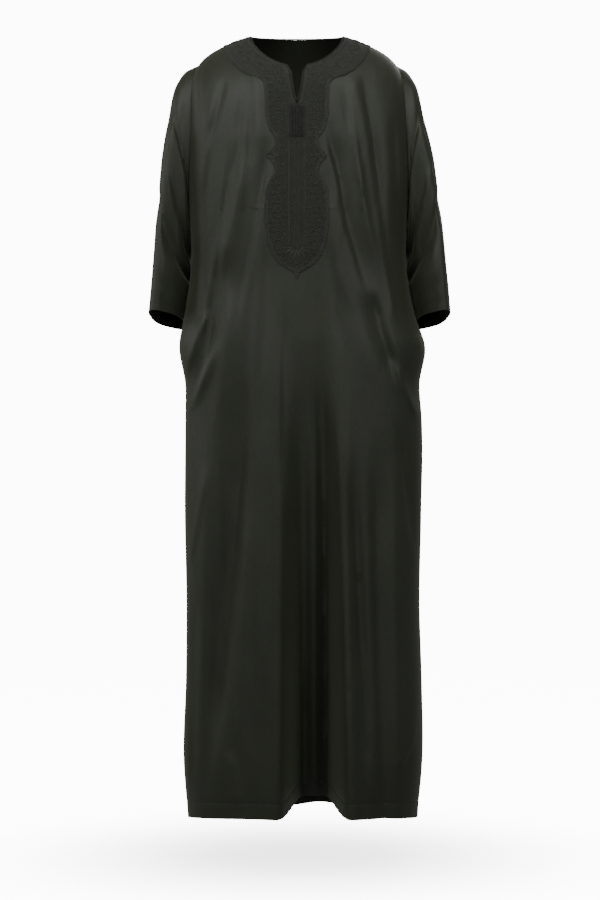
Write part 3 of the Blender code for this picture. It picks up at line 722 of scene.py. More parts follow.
def row_stops():
    """Drops at which rows are wanted: ends of openings, hem stitches, and round them."""
    stops = [YOKE_DROP, HEM_DROP]
    for top, end, _ in (ARMHOLE, POCKET):
        half = (end - top) / 2
        for degrees in END_ANGLES:
            inset = half * (1 - math.cos(math.radians(degrees)))
            stops += [top + inset, end - inset]
    stitch = HEM_DROP - HEM_BAND
    stops += [stitch - GROOVE, stitch, stitch + GROOVE, stitch + 2 * GROOVE]
    return sorted(stops)


def make_levels():
    """Rows of the panels, and the levels of the armhole's tip and the slit's end."""
    tip = yoke_level(0.0, ARMHOLE[0], FRONT)
    slit = yoke_level(0.5, SLIT_END, FRONT)
    stops = row_stops()
    upper = [yoke_level(0.0, drop, FRONT) for drop in stops if ARMHOLE[0] < drop < YOKE_DROP]
    kept = [tip, slit, *upper]
    even = np.linspace(0, 1, YOKE_ROWS + 1)
    even = [level for level in even if min(abs(level - np.array(kept))) > LEVEL_NEAR]
    stops = [drop for drop in stops if drop >= YOKE_DROP]
    drops = []
    for top, end in zip(stops[:-1], stops[1:]):
        count = math.ceil((end - top) / ROW_STEP)
        drops += list(np.linspace(top, end, count + 1)[1:])
    return np.array(sorted(kept + even) + [level_of(drop) for drop in drops]), tip, slit


def lengths(points, axis):
    """Lengths along a grid of points from its first row or column."""
    steps = np.linalg.norm(np.diff(points, axis=axis), axis=-1)
    start = np.zeros_like(np.take(steps, [0], axis=axis))
    return np.cumsum(np.concatenate([start, steps], axis=axis), axis=axis)


def plaque_half(drop):
    """Half width of the embroidery at a drop."""
    return np.interp(drop, PLAQUE["drop"], PLAQUE["half"], left=1.0, right=-1.0)


def creases(across, along, seed):
    """Slight creases scattered over a length of cloth, mostly running down it."""
    rng = np.random.default_rng(seed)
    total = np.zeros_like(across)
    for _ in range(CREASES):
        middle = rng.uniform(-CREASE_REACH, CREASE_REACH), rng.uniform(0, HEM_DROP)
        angle = rng.normal(0, CREASE_LEAN)
        length = rng.uniform(*CREASE_LENGTHS)
        width = rng.uniform(*CREASE_WIDTHS)
        height = rng.uniform(-CREASE_HEIGHT, CREASE_HEIGHT)
        from_middle = across - middle[0], along - middle[1]
        side = from_middle[0] * math.cos(angle) + from_middle[1] * math.sin(angle)
        down = from_middle[1] * math.cos(angle) - from_middle[0] * math.sin(angle)
        total += height * np.exp(-((side / width) ** 2) - (down / length) ** 2)
    return total


def fine_relief(points, across, along, to_side, face):
    """Small creases, the pucker round the embroidery and the hem's groove and ripple."""
    drop = -points[..., 2]
    x = np.abs(points[..., 0])
    relief = creases(across, along, SEEDS["front" if face == FRONT else "back"])
    if face == FRONT:
        beyond = x - plaque_half(drop)
        clear = ease(beyond / CLEAR) * ease(beyond / CLEAR + (drop > PLAQUE_TIP))
        relief *= np.where(drop > PLAQUE_TIP + CLEAR, 1, clear)
        relief *= 1 - in_valley(points[..., 0], drop)
        away = np.clip(beyond, 0, None) / PUCKER_REACH
        band = ease((drop - PUCKER_DROPS[0]) / FADE) * ease((PUCKER_DROPS[1] - drop) / FADE)
        wave = np.sin(TAU * drop / PUCKER_PITCH + x * PUCKER_SLANT)
        relief += PUCKER * band * wave * away * np.exp(1 - away)
    else:
        relief *= ease((along - BACK_BAND) / FADE)
    past_stitch = along - along[-1:] + HEM_BAND
    relief -= HEM_GROOVE * np.exp(-((past_stitch / GROOVE) ** 2))
    sway = RIPPLE_SWAY * np.sin(across / RIPPLE_SWAY_PITCH)
    relief += HEM_RIPPLE * ease(past_stitch / HEM_BAND) * np.sin(TAU * across / RIPPLE_PITCH + sway)
    return relief * ease(to_side / CLEAR)


def make_half(face, side, rows):
    """One half of a panel as a grid of points, directions and places on the flat cloth."""
    levels, tip_level, slit_level = rows
    points = []
    normals = []
    for level in levels:
        start, end = row_ends(level, face, side, tip_level, slit_level)
        turns = even_turns(start, end, level, face, COLUMNS)
        row = cloth(turns, level, face)
        out = cloth_normal(turns, level, face)
        if seam_closed(level, tip_level):
            row[0, 1] = face * SEAM / 2
            out[0, 1] = 0
        if level == levels[-1]:
            out[:, 2] = 0
        points.append(row)
        normals.append(unit(out))
    points = np.array(points)
    normals = np.array(normals)
    to_side = lengths(points, 1)
    across = -side * (to_side - to_side[:, -1:])
    along = np.broadcast_to(lengths(points, 0).mean(axis=1, keepdims=True), across.shape)
    points = points + normals * fine_relief(points, across, along, to_side, face)[..., None]
    if side == RIGHT:
        points, normals, across, along = (a[:, ::-1] for a in (points, normals, across, along))
    return {"points": points, "normals": normals, "places": np.stack([across, -along], -1)}


def grid_faces(grid, first):
    """Faces of a grid of points, the first of which has a given number."""
    rows, columns = grid.shape[:2]
    ids = first + np.arange(rows * columns).reshape(rows, columns)
    return np.stack([ids[:-1, :-1], ids[1:, :-1], ids[1:, 1:], ids[:-1, 1:]], -1).reshape(-1, 4)


def face_edges(faces):
    """The two ends of each edge of faces with four corners."""
    return np.concatenate([np.stack([faces[:, n], faces[:, (n + 1) % 4]], -1) for n in range(4)])


def make_wall(name, patches, finish):
    """A closed wall of cloth from grids of points, with its place on the flat cloth as a UV map."""
    outer = np.concatenate([p["points"].reshape(-1, 3) for p in patches])
    away = np.concatenate([(p["normals"] * p["thick"]).reshape(-1, 3) for p in patches])
    places = np.concatenate([p["places"].reshape(-1, 2) for p in patches])
    faces = []
    first = 0
    for patch in patches:
        quads = grid_faces(patch["points"], first)
        faces.append(quads[:, ::-1] if patch["turned"] else quads)
        first += patch["points"].size // 3
    faces = np.concatenate(faces)
    rounded = np.round(outer, MERGE_DIGITS)
    kept, number = np.unique(rounded, axis=0, return_index=True, return_inverse=True)[1:]
    outer, away = outer[kept], away[kept]
    count = len(outer)
    layer = number.reshape(-1)[faces]
    edges = face_edges(layer)
    code = edges.min(axis=1) * count + edges.max(axis=1)
    once = np.unique(code, return_index=True, return_counts=True)
    rims = once[1][once[2] == 1]
    a, b = edges[rims].T
    rim_faces = np.stack([b, a, a + count, b + count], -1)
    rim_corners = face_edges(faces)[rims][:, [1, 0, 0, 1]]
    all_faces = np.concatenate([layer, layer[:, ::-1] + count, rim_faces])
    all_places = places[np.concatenate([faces, faces[:, ::-1], rim_corners]).reshape(-1)]
    mesh = bpy.data.meshes.new(name)
    mesh.from_pydata(np.concatenate([outer, outer - away]).tolist(), [], all_faces.tolist())
    mesh.uv_layers.new(name="cloth").data.foreach_set("uv", all_places.reshape(-1))
    return add_piece(name, mesh, finish)


def add_piece(name, mesh, finish):
    """A piece of the garment that rides on its one body."""
    mesh.materials.clear()
    mesh.materials.append(finish)
    mesh.shade_smooth()
    mesh.set_sharp_from_angle(angle=math.radians(SHARP))
    piece = bpy.data.objects.new(name, mesh)
    bpy.context.scene.collection.objects.link(piece)
    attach(piece, "root")
    return piece


def make_panel(name, face, rows, finish):
    """The front or the back length of cloth, hemmed at its foot."""
    halves = {side: make_half(face, side, rows) for side in (LEFT, RIGHT)}
    for half in halves.values():
        along = -half["places"][..., 1]
        in_hem = ease((along - along[-1:] + HEM_BAND + GROOVE) / GROOVE)
        half["thick"] = (CLOTH + (TURNED - CLOTH) * in_hem)[..., None]
        half["turned"] = face == BACK
    piece = make_wall(name, list(halves.values()), finish)
    return piece, halves


def edge_ring(front, back, side, opening, lift):
    """Points round an armhole or pocket mouth, from its top down the front and up the back."""
    column = 0 if side == LEFT else -1
    chains = []
    for panel in (front, back):
        points = panel[side]["points"][:, column]
        out = panel[side]["normals"][:, column]
        drop = -points[:, 2]
        at_end = (np.abs(drop - opening[0]) < END_NEAR) | (np.abs(drop - opening[1]) < END_NEAR)
        near = (drop > opening[0] - END_NEAR) & (drop < opening[1] + END_NEAR)
        near &= at_end | (np.abs(points[:, 1]) > SEAM)
        chains.append((points + out * lift)[near])
    top = (chains[0][0] + chains[1][0]) / 2
    end = (chains[0][-1] + chains[1][-1]) / 2
    return np.vstack([[top], chains[0][1:-1], [end], chains[1][-2:0:-1], [top]])


def ring_angles(mouth, opening):
    """Angle of each point round an opening, 0 at its top and half a turn at its foot."""
    middle = (opening[0] + opening[1]) / 2
    half = (opening[1] - opening[0]) / 2
    angle = np.arccos(np.clip((middle + mouth[:, 2]) / half, -1, 1))
    foot = np.argmin(mouth[:, 2])
    angle[foot:] = TAU - angle[foot:]
    angle[0], angle[foot], angle[-1] = 0, math.pi, TAU
    return angle


def fill_ring(mouth, angle):
    """More points on the straight edges of a ring, so that no two are far apart in angle."""
    kept = (angle > RING_NEAR) & (angle < TAU - RING_NEAR)
    kept[0] = kept[-1] = True
    mouth, angle = mouth[kept], angle[kept]
    fine = [0.0]
    for start, end in zip(angle[:-1], angle[1:]):
        count = math.ceil((end - start) / math.radians(RING_STEP))
        fine += list(np.linspace(start, end, count + 1)[1:])
    fine = np.array(fine)
    return np.stack([np.interp(fine, angle, mouth[:, n]) for n in range(3)], -1), fine


def between_rings(rings, steps):
    """Rings filled in along smooth curves, and the number of the ring at each."""
    rings = np.array(rings)
    slopes = np.gradient(rings, axis=0)
    at = np.linspace(0, len(rings) - 1, (len(rings) - 1) * steps + 1)
    n = np.clip(at.astype(int), 0, len(rings) - 2)
    t = (at - n)[:, None, None]
    return cubic(t, 1, (rings[n], rings[n + 1]), (slopes[n], slopes[n + 1])), at


def tube_normals(grid):
    """Directions square to a tube's grid of points, away from its axis."""
    open_grid = grid[:, :-1]
    around = np.roll(open_grid, -1, axis=1) - np.roll(open_grid, 1, axis=1)
    along = np.gradient(open_grid, axis=0)
    normals = unit(np.cross(around, along))
    if np.sum(normals * (open_grid - open_grid.mean(axis=1, keepdims=True))) < 0:
        normals = -normals
    return np.concatenate([normals, normals[:, :1]], axis=1)


def tube_patch(grid, normals, thick):
    """A tube's grid with its place on the flat cloth."""
    around = lengths(grid, 1)
    across = around / around[:, -1:] * around[:, -1].mean()
    along = np.broadcast_to(lengths(grid, 0).mean(axis=1, keepdims=True), across.shape)
    down, side = grid[1:, :-1] - grid[:-1, :-1], grid[:-1, 1:] - grid[:-1, :-1]
    turned = np.sum(np.cross(down, side) * normals[:-1, :-1]) < 0
    places = np.stack([across, -along], -1)
    return {"points": grid, "normals": normals, "places": places, "thick": thick, "turned": turned}


def make_sleeve(name, side, front, back, finish):
    """One sleeve, lofted from its armhole to its turned cuff."""
    mouth = edge_ring(front, back, side, ARMHOLE, SEAM)
    mouth, angle = fill_ring(mouth, ring_angles(mouth, ARMHOLE))
    label = "left" if side == LEFT else "right"
    outer_x, inner_x = side * SLEEVE["outer_" + label], side * SLEEVE["inner_" + label]
    rings = [mouth]
    for n in range(len(SLEEVE["depth"])):
        outer = np.array([outer_x[n], 0, -SLEEVE["outer_drop"][n]])
        inner = np.array([inner_x[n], SLEEVE["tuck"][n], -SLEEVE["inner_drop"][n]])
        power = 1 - SLEEVE_FLAT * min(n / SLEEVE_FLAT_FROM, 1)
        ring = (outer + inner) / 2 + squarer(np.cos(angle), power)[:, None] * (outer - inner) / 2
        ring[:, 1] -= SLEEVE["depth"][n] * squarer(np.sin(angle), power)
        ring[:, 2] -= SLEEVE["low"][n] * (1 - np.sin(angle)) / 2
        rings.append(ring)
    grid, at = between_rings(rings, SLEEVE_ROWS_PER_RING)
    around = angle / math.pi
    ring = at[:, None]
    push = sum(fold_height(around + turn, ring, SLEEVE_FOLDS) for turn in (-2, 0, 2))
    grid = grid + tube_normals(grid) * push[..., None]
    normals = tube_normals(grid)
    places = tube_patch(grid, normals, None)["places"]
    across, along = places[..., 0], -places[..., 1]
    to_edge = along[-1:] - along
    relief = creases(across - across.mean(), along, SEEDS[label]) * ease(along / FADE)
    relief -= HEM_GROOVE * np.exp(-(((to_edge - CUFF_BAND) / (2 * GROOVE)) ** 2))
    relief[:, -1] = relief[:, 0]
    grid = grid + normals * relief[..., None]
    in_cuff = ease((CUFF_BAND + GROOVE - to_edge) / GROOVE)
    thick = (CLOTH + (TURNED - CLOTH) * in_cuff)[..., None]
    patch = tube_patch(grid, normals, thick)
    return make_wall(name, [patch], finish), patch


def make_pocket(name, side, front, back, finish):
    """One pocket bag, hung inside the side seam with its mouth open."""
    mouth = edge_ring(front, back, side, POCKET, -(CLOTH + SEAM))
    mouth, angle = fill_ring(mouth, ring_angles(mouth, POCKET))
    middle = (POCKET[0] + POCKET[1]) / 2
    edge = smooth(BODY, "left" if side == LEFT else "right", np.array([middle]))[0]
    rings = [mouth]
    for n in range(len(POCKET_BAG["drop"])):
        height = POCKET_BAG["height"][n] * np.cos(angle)
        depth = -POCKET_BAG["width"][n] * np.sin(angle) - POCKET_BAG["forward"][n]
        x = np.full(len(angle), edge - side * POCKET_BAG["inward"][n])
        rings.append(np.stack([x, depth, height - POCKET_BAG["drop"][n]], -1))
    grid = between_rings(rings, POCKET_ROWS_PER_RING)[0]
    normals = tube_normals(grid)
    relief = creases(lengths(grid, 1), lengths(grid, 0), SEEDS["pocket"]) * POCKET_CREASE
    grid = grid + normals * relief[..., None]
    grid[:, -1] = grid[:, 0]
    return make_wall(name, [tube_patch(grid, normals, CLOTH)], finish)


def ground_half(face, side, levels):
    """One half of the embroidery's ground: its rows run from the outline to the slit or middle."""
    points = []
    normals = []
    turn = half_turns(side)
    for level in levels:
        row = cloth(turn, level, face)
        inside = np.abs(row[:, 1]) - SEAM / 2
        end = 0.5
        if face == FRONT:
            inside = np.minimum(inside, plaque_half(-row[:, 2]) - np.abs(row[:, 0]))
            if -row[-1, 2] < SLIT_END:
                end = slit_turn(row, turn)
        turns = even_turns(crossing(inside, turn), end, level, face, GROUND_COLUMNS)
        points.append(cloth(turns, level, face))
        normals.append(cloth_normal(turns, level, face))
    points = np.array(points)
    normals = np.array(normals)
    if side == RIGHT:
        points, normals = points[:, ::-1], normals[:, ::-1]
    across = points[..., 0]
    along = np.broadcast_to(lengths(points, 0).mean(axis=1, keepdims=True), across.shape)
    return {
        "points": points + normals * (SEAM + GROUND),
        "normals": normals,
        "places": np.stack([across, -along], -1),
        "thick": GROUND,
        "turned": face == BACK,
    }


def make_ground(name, face, finish):
    """The cloth ground of the embroidery, and its outer face as a surface to lay cords on."""
    if face == FRONT:
        lower = np.arange(YOKE_DROP, TAIL_DROP, GROUND_STEP)[1:]
        tail = np.arange(TAIL_DROP, PLAQUE_TIP - TIP_ROOM, TAIL_STEP)
        levels = [*np.linspace(0, 1, GROUND_ROWS), *(level_of(drop) for drop in (*lower, *tail))]
    else:
        levels = np.linspace(0, band_level(), GROUND_BACK_ROWS)
    halves = [ground_half(face, side, levels) for side in (LEFT, RIGHT)]
    points = []
    faces = []
    for half in halves:
        faces += grid_faces(half["points"], len(points)).tolist()
        points += half["points"].reshape(-1, 3).tolist()
    return make_wall(name, halves, finish), BVHTree.FromPolygons(points, faces)


def band_level():
    """Level of the row where the neck band ends on the shoulder line."""
    levels = np.linspace(0, 1, DENSE)
    return float(np.interp(BAND_HALF, cloth(1, levels, FRONT)[:, 0], levels))


class NeckBand:
    """The neck band as a chart: how far round it, and how far out from the neckline."""

    def __init__(self):
        turns = np.linspace(0, BAND_LAST_TURN, BAND_TURNS)
        kept = [turn for turn in turns if abs(self.outline_end(turn)[1]) > MERGE_X]
        self.merge_turn = kept[-1]
        walk = [(turn, FRONT) for turn in kept[::-1]]
        walk += [(turn, BACK) for turn in np.linspace(0, 1, BAND_BACK_TURNS)[1:-1]]
        walk += [(1 - turn, FRONT) for turn in kept]
        behind = band_level()
        points = []
        normals = []
        for turn, face in walk:
            last = self.outline_end(turn)[0] if face == FRONT else behind
            levels = np.linspace(0, last, BAND_LEVELS)
            length = lengths(cloth(turn, levels, face), 0)
            even = np.interp(np.linspace(0, length[-1], BAND_STEPS + 1), length, levels)
            points.append(cloth(turn, even, face))
            normals.append(cloth_normal(turn, even, face))
        self.points = np.array(points)
        self.normals = np.array(normals)
        self.round = lengths(self.points[:, BAND_STEPS // 2], 0)
        self.width = lengths(self.points, 1)[:, -1]
        self.length = self.round[-1]

    @staticmethod
    def outline_end(turn):
        """Level and x at which a column meets the outline of the embroidery."""
        levels = np.linspace(0, 1, DENSE)
        column = cloth(turn, levels, FRONT)
        level = crossing(np.abs(column[:, 0]) - plaque_half(-column[:, 2]), levels)
        return level, cloth([turn], level, FRONT)[0, 0]

    def lay(self, path, lift):
        """Points of a path given as (distance round, distance out) laid on the band."""
        path = np.asarray(path, float)
        at = np.interp(path[:, 0], self.round, np.arange(len(self.round)))
        out = np.clip(path[:, 1] / self.width_at(path[:, 0]), 0, 1) * BAND_STEPS
        a = np.clip(at.astype(int), 0, len(self.round) - 2)
        b = np.clip(out.astype(int), 0, BAND_STEPS - 1)
        p, q = (at - a)[:, None], (out - b)[:, None]
        laid = []
        for grid in (self.points, self.normals):
            near = grid[a, b] * (1 - q) + grid[a, b + 1] * q
            far = grid[a + 1, b] * (1 - q) + grid[a + 1, b + 1] * q
            laid.append(near * (1 - p) + far * p)
        return laid[0] + unit(laid[1]) * (SEAM + GROUND + lift)

    def width_at(self, distance):
        """Width of the band at a distance round it."""
        return np.interp(distance, self.round, self.width)


class Chest:
    """The plaque as a chart of x and drop, read from in front."""

    def __init__(self, surface):
        self.surface = surface

    def lay(self, path, lift):
        """Points of a path given as (x, drop) laid on the plaque."""
        laid = []
        for x, drop in path:
            place, normal = self.surface.ray_cast(Vector((x, -1, -drop)), Vector((0, 1, 0)))[:2]
            if place is None:
                continue
            normal = normal if normal.y < 0 else -normal
            laid.append(place + normal * lift)
        return np.array(laid)


def scroll(middle, radius, start, turns):
    """A scroll that winds in from its rim."""
    t = np.linspace(0, 1, int(SCROLL_POINTS * abs(turns)))
    angle = start + turns * TAU * t
    reach = radius * (1 - SCROLL_WIND * t)
    return np.stack([middle[0] + reach * np.cos(angle), middle[1] + reach * np.sin(angle)], -1)


def petal(root, direction, length, width):
    """A pointed loop that starts and ends at its root."""
    t = np.linspace(0, 1, PETAL_POINTS)
    along = length * (1 - np.cos(TAU * t)) / 2
    across = width * np.sin(TAU * t) * np.sin(np.pi * t) ** PETAL_POINT / PETAL_FULL
    c, s = math.cos(direction), math.sin(direction)
    return np.stack([root[0] + along * c - across * s, root[1] + along * s + across * c], -1)


def band_pattern(band):
    """A running vine with a scroll in each bend and leaves opposite."""
    count = 2 * round(band.length / BAND_REPEAT / 2)
    pitch = band.length / count
    round_band = np.linspace(0, band.length, int(band.length / LINE_STEP))
    middle = band.width_at(round_band) / 2 + BAND_SHIFT
    paths = [np.stack([round_band, middle + VINE * np.sin(np.pi * round_band / pitch)], -1)]
    for n in range(count):
        side = 1 if n % 2 == 0 else -1
        at = (n + 0.5) * pitch
        centre = float(band.width_at(at)) / 2 + BAND_SHIFT
        inside = centre + side * (VINE - SCROLL)
        paths.append(scroll((at, inside), SCROLL, side * math.pi / 2, -BAND_SCROLL_TURNS * side))
        for turn in BAND_LEAF_TURNS:
            root = (at + turn * BAND_LEAF_APART, centre - side * BAND_LEAF_ROOT)
            paths.append(petal(root, -side * math.pi / 2 + turn, *BAND_LEAF))
    return paths


def column_pattern(side):
    """A chain of diamonds with a scroll in each and leaves between, down one side."""
    drops = np.arange(COLUMN_TOP, COLUMN_END, COLUMN_STEP)
    outer = plaque_half(drops) - OUTLINE_ROOM
    middle = (COLUMN_INNER + outer) / 2
    reach = (outer - COLUMN_INNER) / 2
    wave = np.sin(np.pi * (drops - COLUMN_TOP) / DIAMOND)
    paths = [np.stack([side * (middle + turn * reach * wave), drops], -1) for turn in (-1, 1)]
    count = int((COLUMN_END - COLUMN_TOP) / DIAMOND)
    for n in range(count + 1):
        cross = COLUMN_TOP + n * DIAMOND
        half = (plaque_half(cross) - OUTLINE_ROOM - COLUMN_INNER) / 2
        for out in (-1, 1):
            root = (side * (COLUMN_INNER + half + out * half * CROSS_LEAF[0]), cross)
            direction = 0 if out * side > 0 else math.pi
            paths.append(petal(root, direction, half * CROSS_LEAF[1], CROSS_LEAF[2]))
        if n == count:
            continue
        cell = cross + DIAMOND / 2
        half = (plaque_half(cell) - OUTLINE_ROOM - COLUMN_INNER) / 2
        centre = (side * (COLUMN_INNER + half), cell)
        radius = min(half, DIAMOND / 2) * CELL_SCROLL
        paths.append(scroll(centre, radius, math.pi / 2 * (-1) ** n, CELL_SCROLL_TURNS * side))
        if half > WIDE_CELL:
            for out in (-1, 1):
                root = (centre[0] + out * half * CELL_LEAF[0], cell)
                direction = 0 if out > 0 else math.pi
                paths.append(petal(root, direction, half * CELL_LEAF[1], CELL_LEAF[2]))
    return paths


def fan_pattern():
    """Leaves that spread at the foot of the plaque, the tail, and the buds at its waist."""
    paths = []
    for angle in np.radians(np.linspace(-FAN_SPREAD, FAN_SPREAD, FAN_LEAVES)):
        direction = math.pi / 2 - angle
        root = (FAN_ROOT[0] * math.sin(angle), FAN_TOP + FAN_ROOT[1] * math.cos(angle))
        length = FAN_LEAF[0] - FAN_SHORTER * math.cos(angle) ** 2
        paths.append(petal(root, direction, length, FAN_LEAF[1]))
        paths.append(petal(root, direction, length * FAN_INNER[0], FAN_INNER[1]))
    paths.append(petal((0, FAN_TOP + TAIL_ROOT), math.pi / 2, *TAIL_LEAF))
    for side in (LEFT, RIGHT):
        out = 0 if side > 0 else math.pi
        for turn in BUD_TURNS:
            paths.append(petal((side * BUD[0], BUD[1]), out + turn * side, *BUD_LEAF))
        for x, drop, radius in CORNER_SCROLLS:
            paths.append(scroll((side * x, drop), radius, math.pi / 2, CORNER_TURNS * side))
            for turn in CORNER_LEAF_TURNS:
                root = (side * (x + CORNER_LEAF_OUT * radius), drop + radius)
                paths.append(petal(root, math.pi / 2 + turn * side, *CORNER_LEAF))
    return paths


def offset_line(line, distance):
    """A flat line moved sideways, to its right as it runs."""
    step = np.gradient(line, axis=0)
    step = step / np.linalg.norm(step, axis=1, keepdims=True)
    return line + np.stack([-step[:, 1], step[:, 0]], -1) * distance


def soft_line(line, spacing, width):
    """A flat line with points evenly apart and its corners rounded."""
    length = lengths(line, 0)
    count = int(length[-1] / spacing) + 1
    at = np.linspace(0, length[-1], count)
    line = np.stack([np.interp(at, length, line[:, n]) for n in range(line.shape[1])], -1)
    for _ in range(width):
        line[1:-1] = (line[:-2] + 2 * line[1:-1] + line[2:]) / 4
    return line


def join_sides(chest, band, side, out, lift):
    """A cord along a line down the plaque, round the band at a distance out, and up the far side."""
    right = chest.lay(side, lift)
    left = chest.lay(np.stack([-side[:, 0], side[:, 1]], -1), lift)
    round_band = np.linspace(0, band.length, int(band.length / EDGE_STEP))
    middle = band.lay(np.stack([round_band, out(round_band)], -1), lift)
    return soft_line(np.vstack([left[::-1], middle, right]), LINE_STEP, 2)


def outline_cord(band, chest, inset, lift):
    """A cord that follows the embroidery's outline at an inset, round the neck and plaque."""
    half = np.stack([PLAQUE["half"], PLAQUE["drop"]], -1)
    half = half[(half[:, 0] < MERGE_X) | (half[:, 1] > MERGE_DROP)]
    side = offset_line(soft_line(half, LINE_STEP, 3), inset)
    side = side[side[:, 0] > 0]
    return join_sides(chest, band, side, lambda at: band.width_at(at) - inset, lift)


def neck_cord(band, chest, inset, lift):
    """A cord that follows the neckline and the slit at an inset."""
    ring = neck_ring(np.linspace(band.merge_turn, 0.5, NECK_POINTS), FRONT)
    neck = np.stack([-ring[:, 0], -ring[:, 2]], -1)
    neck = neck[neck[:, 0] > SLIT["half"][0]]
    slit = np.stack([SLIT["half"], SLIT["drop"]], -1)
    side = offset_line(soft_line(np.vstack([neck, slit]), NECK_STEP, 4), -inset)
    side = side[side[:, 1] < SLIT_END - NECK_STEP]
    return join_sides(chest, band, side, lambda at: np.full(len(at), inset), lift)


class Value:
    """An output of a node, whose sums and products become Math nodes."""

    def __init__(self, nodes, socket):
        self.nodes = nodes
        self.socket = socket

    def other(self, name):
        """Another output of the same node."""
        return Value(self.nodes, self.socket.node.outputs[name])

    def math(self, operation, *values):
        """A Math node on this value and others."""
        inputs = dict(enumerate((self, *values)))
        return self.nodes.add("ShaderNodeMath", {"operation": operation}, inputs)

    def __add__(self, value):
        return self.math("ADD", value)

    def __sub__(self, value):
        return self.math("SUBTRACT", value)

    def __rsub__(self, value):
        return self.nodes.add("ShaderNodeMath", {"operation": "SUBTRACT"}, {0: value, 1: self})

    def __mul__(self, value):
        return self.math("MULTIPLY", value)

    def __truediv__(self, value):
        return self.math("DIVIDE", value)

    __radd__ = __add__
    __rmul__ = __mul__


class Nodes:
    """Adds nodes to a tree, with their settings and the values or links of their inputs."""

    def __init__(self, tree):
        self.tree = tree

    def give(self, socket, value):
        """A value or link of one input."""
        if isinstance(value, Value):
            self.tree.links.new(value.socket, socket)
        else:
            socket.default_value = value

    def add(self, kind, settings=None, values=None, output=0):
        """A new node, as its first or its named output; a list of values joins them all."""
        node = self.tree.nodes.new(kind)
        for name, setting in (settings or {}).items():
            setattr(node, name, setting)
        for name, value in (values or {}).items():
            for single in value if isinstance(value, list) else [value]:
                self.give(node.inputs[name], single)
        return Value(self, node.outputs[output]) if len(node.outputs) else None

    def blend(self, share, first, second):
        """A colour between two others."""
        node = self.tree.nodes.new("ShaderNodeMix")
        node.data_type = "RGBA"
        for name, value in (("Factor", share), ("A", first), ("B", second)):
            self.give([s for s in node.inputs if s.name == name and s.enabled][0], value)
        return Value(self, [s for s in node.outputs if s.enabled][0])

    def bump(self, height, strength, distance, **under):
        """Relief that only the light sees, on top of another if one is given."""
        values = {"Height": height, "Strength": strength, "Distance": distance, **under}
        return self.add("ShaderNodeBump", None, values)

    def vector(self, operation, first, second):
        """A Vector Math node on two values."""
        values = {0: first, "Scale" if operation == "SCALE" else 1: second}
        return self.add("ShaderNodeVectorMath", {"operation": operation}, values)

    def fall(self, value, start, end, kind):
        """1 up to a start, 0 past an end and eased between them."""
        ends = {"From Min": start, "From Max": end, "To Min": 1.0, "To Max": 0.0}
        return self.add("ShaderNodeMapRange", {"interpolation_type": kind}, {"Value": value, **ends})

    def shade_smooth(self, geometry):
        """A geometry without facets."""
        return self.add("GeometryNodeSetShadeSmooth", None, {"Geometry": geometry, "Shade Smooth": True})


def new_tree(name, sizes):
    """A Geometry Nodes tree with a length for each named size."""
    tree = bpy.data.node_groups.new(name, "GeometryNodeTree")
    given = [("Geometry", "Geometry"), *((size, "Float") for size in sizes), ("Material", "Material")]
    for label, kind in given:
        tree.interface.new_socket(label, in_out="INPUT", socket_type="NodeSocket" + kind)
    tree.interface.new_socket("Geometry", in_out="OUTPUT", socket_type="NodeSocketGeometry")
    nodes = Nodes(tree)
    return nodes, nodes.add("NodeGroupInput")


def end_tree(nodes, given, geometry):
    """The last nodes of a tree: instances made real, and the finish."""
    real = nodes.add("GeometryNodeRealizeInstances", None, {0: nodes.shade_smooth(geometry)})
    finish = {"Geometry": real, "Material": given.other("Material")}
    nodes.add("NodeGroupOutput", None, {0: nodes.add("GeometryNodeSetMaterial", None, finish)})
    return nodes.tree


def cord_tree(strands, sides):
    """Threads laid or twisted together along each line of a mesh of edges."""
    nodes, given = new_tree(f"cord_of_{strands}", ("Spacing", "Radius", "Offset", "Twist"))
    line = nodes.add("GeometryNodeMeshToCurve", None, {0: given})
    spacing = {"Curve": line, "Length": given.other("Spacing")}
    line = nodes.add("GeometryNodeResampleCurve", {"mode": "LENGTH"}, spacing)
    length = nodes.add("GeometryNodeSplineParameter").other("Length")
    normal = nodes.add("GeometryNodeInputNormal")
    tangent = nodes.add("GeometryNodeInputTangent")
    beside = nodes.vector("CROSS_PRODUCT", tangent, normal)
    section = {"Resolution": sides, "Radius": given.other("Radius")}
    ring = nodes.add("GeometryNodeCurvePrimitiveCircle", None, section)
    threads = []
    for n in range(strands):
        angle = length / given.other("Twist") * TAU + n * TAU / strands
        ahead = nodes.vector("SCALE", normal, angle.math("COSINE") * given.other("Offset"))
        aside = nodes.vector("SCALE", beside, angle.math("SINE") * given.other("Offset"))
        marks = {"Geometry": line, "Name": "along", "Value": length}
        kept = {"data_type": "FLOAT", "domain": "POINT"}
        marked = nodes.add("GeometryNodeStoreNamedAttribute", kept, marks)
        moved = {"Geometry": marked, "Offset": nodes.vector("ADD", ahead, aside)}
        thread = nodes.add("GeometryNodeSetPosition", None, moved)
        tube = {"Curve": thread, "Profile Curve": ring, "Fill Caps": True}
        threads.append(nodes.add("GeometryNodeCurveToMesh", None, tube))
    return end_tree(nodes, given, nodes.add("GeometryNodeJoinGeometry", None, {0: threads}))


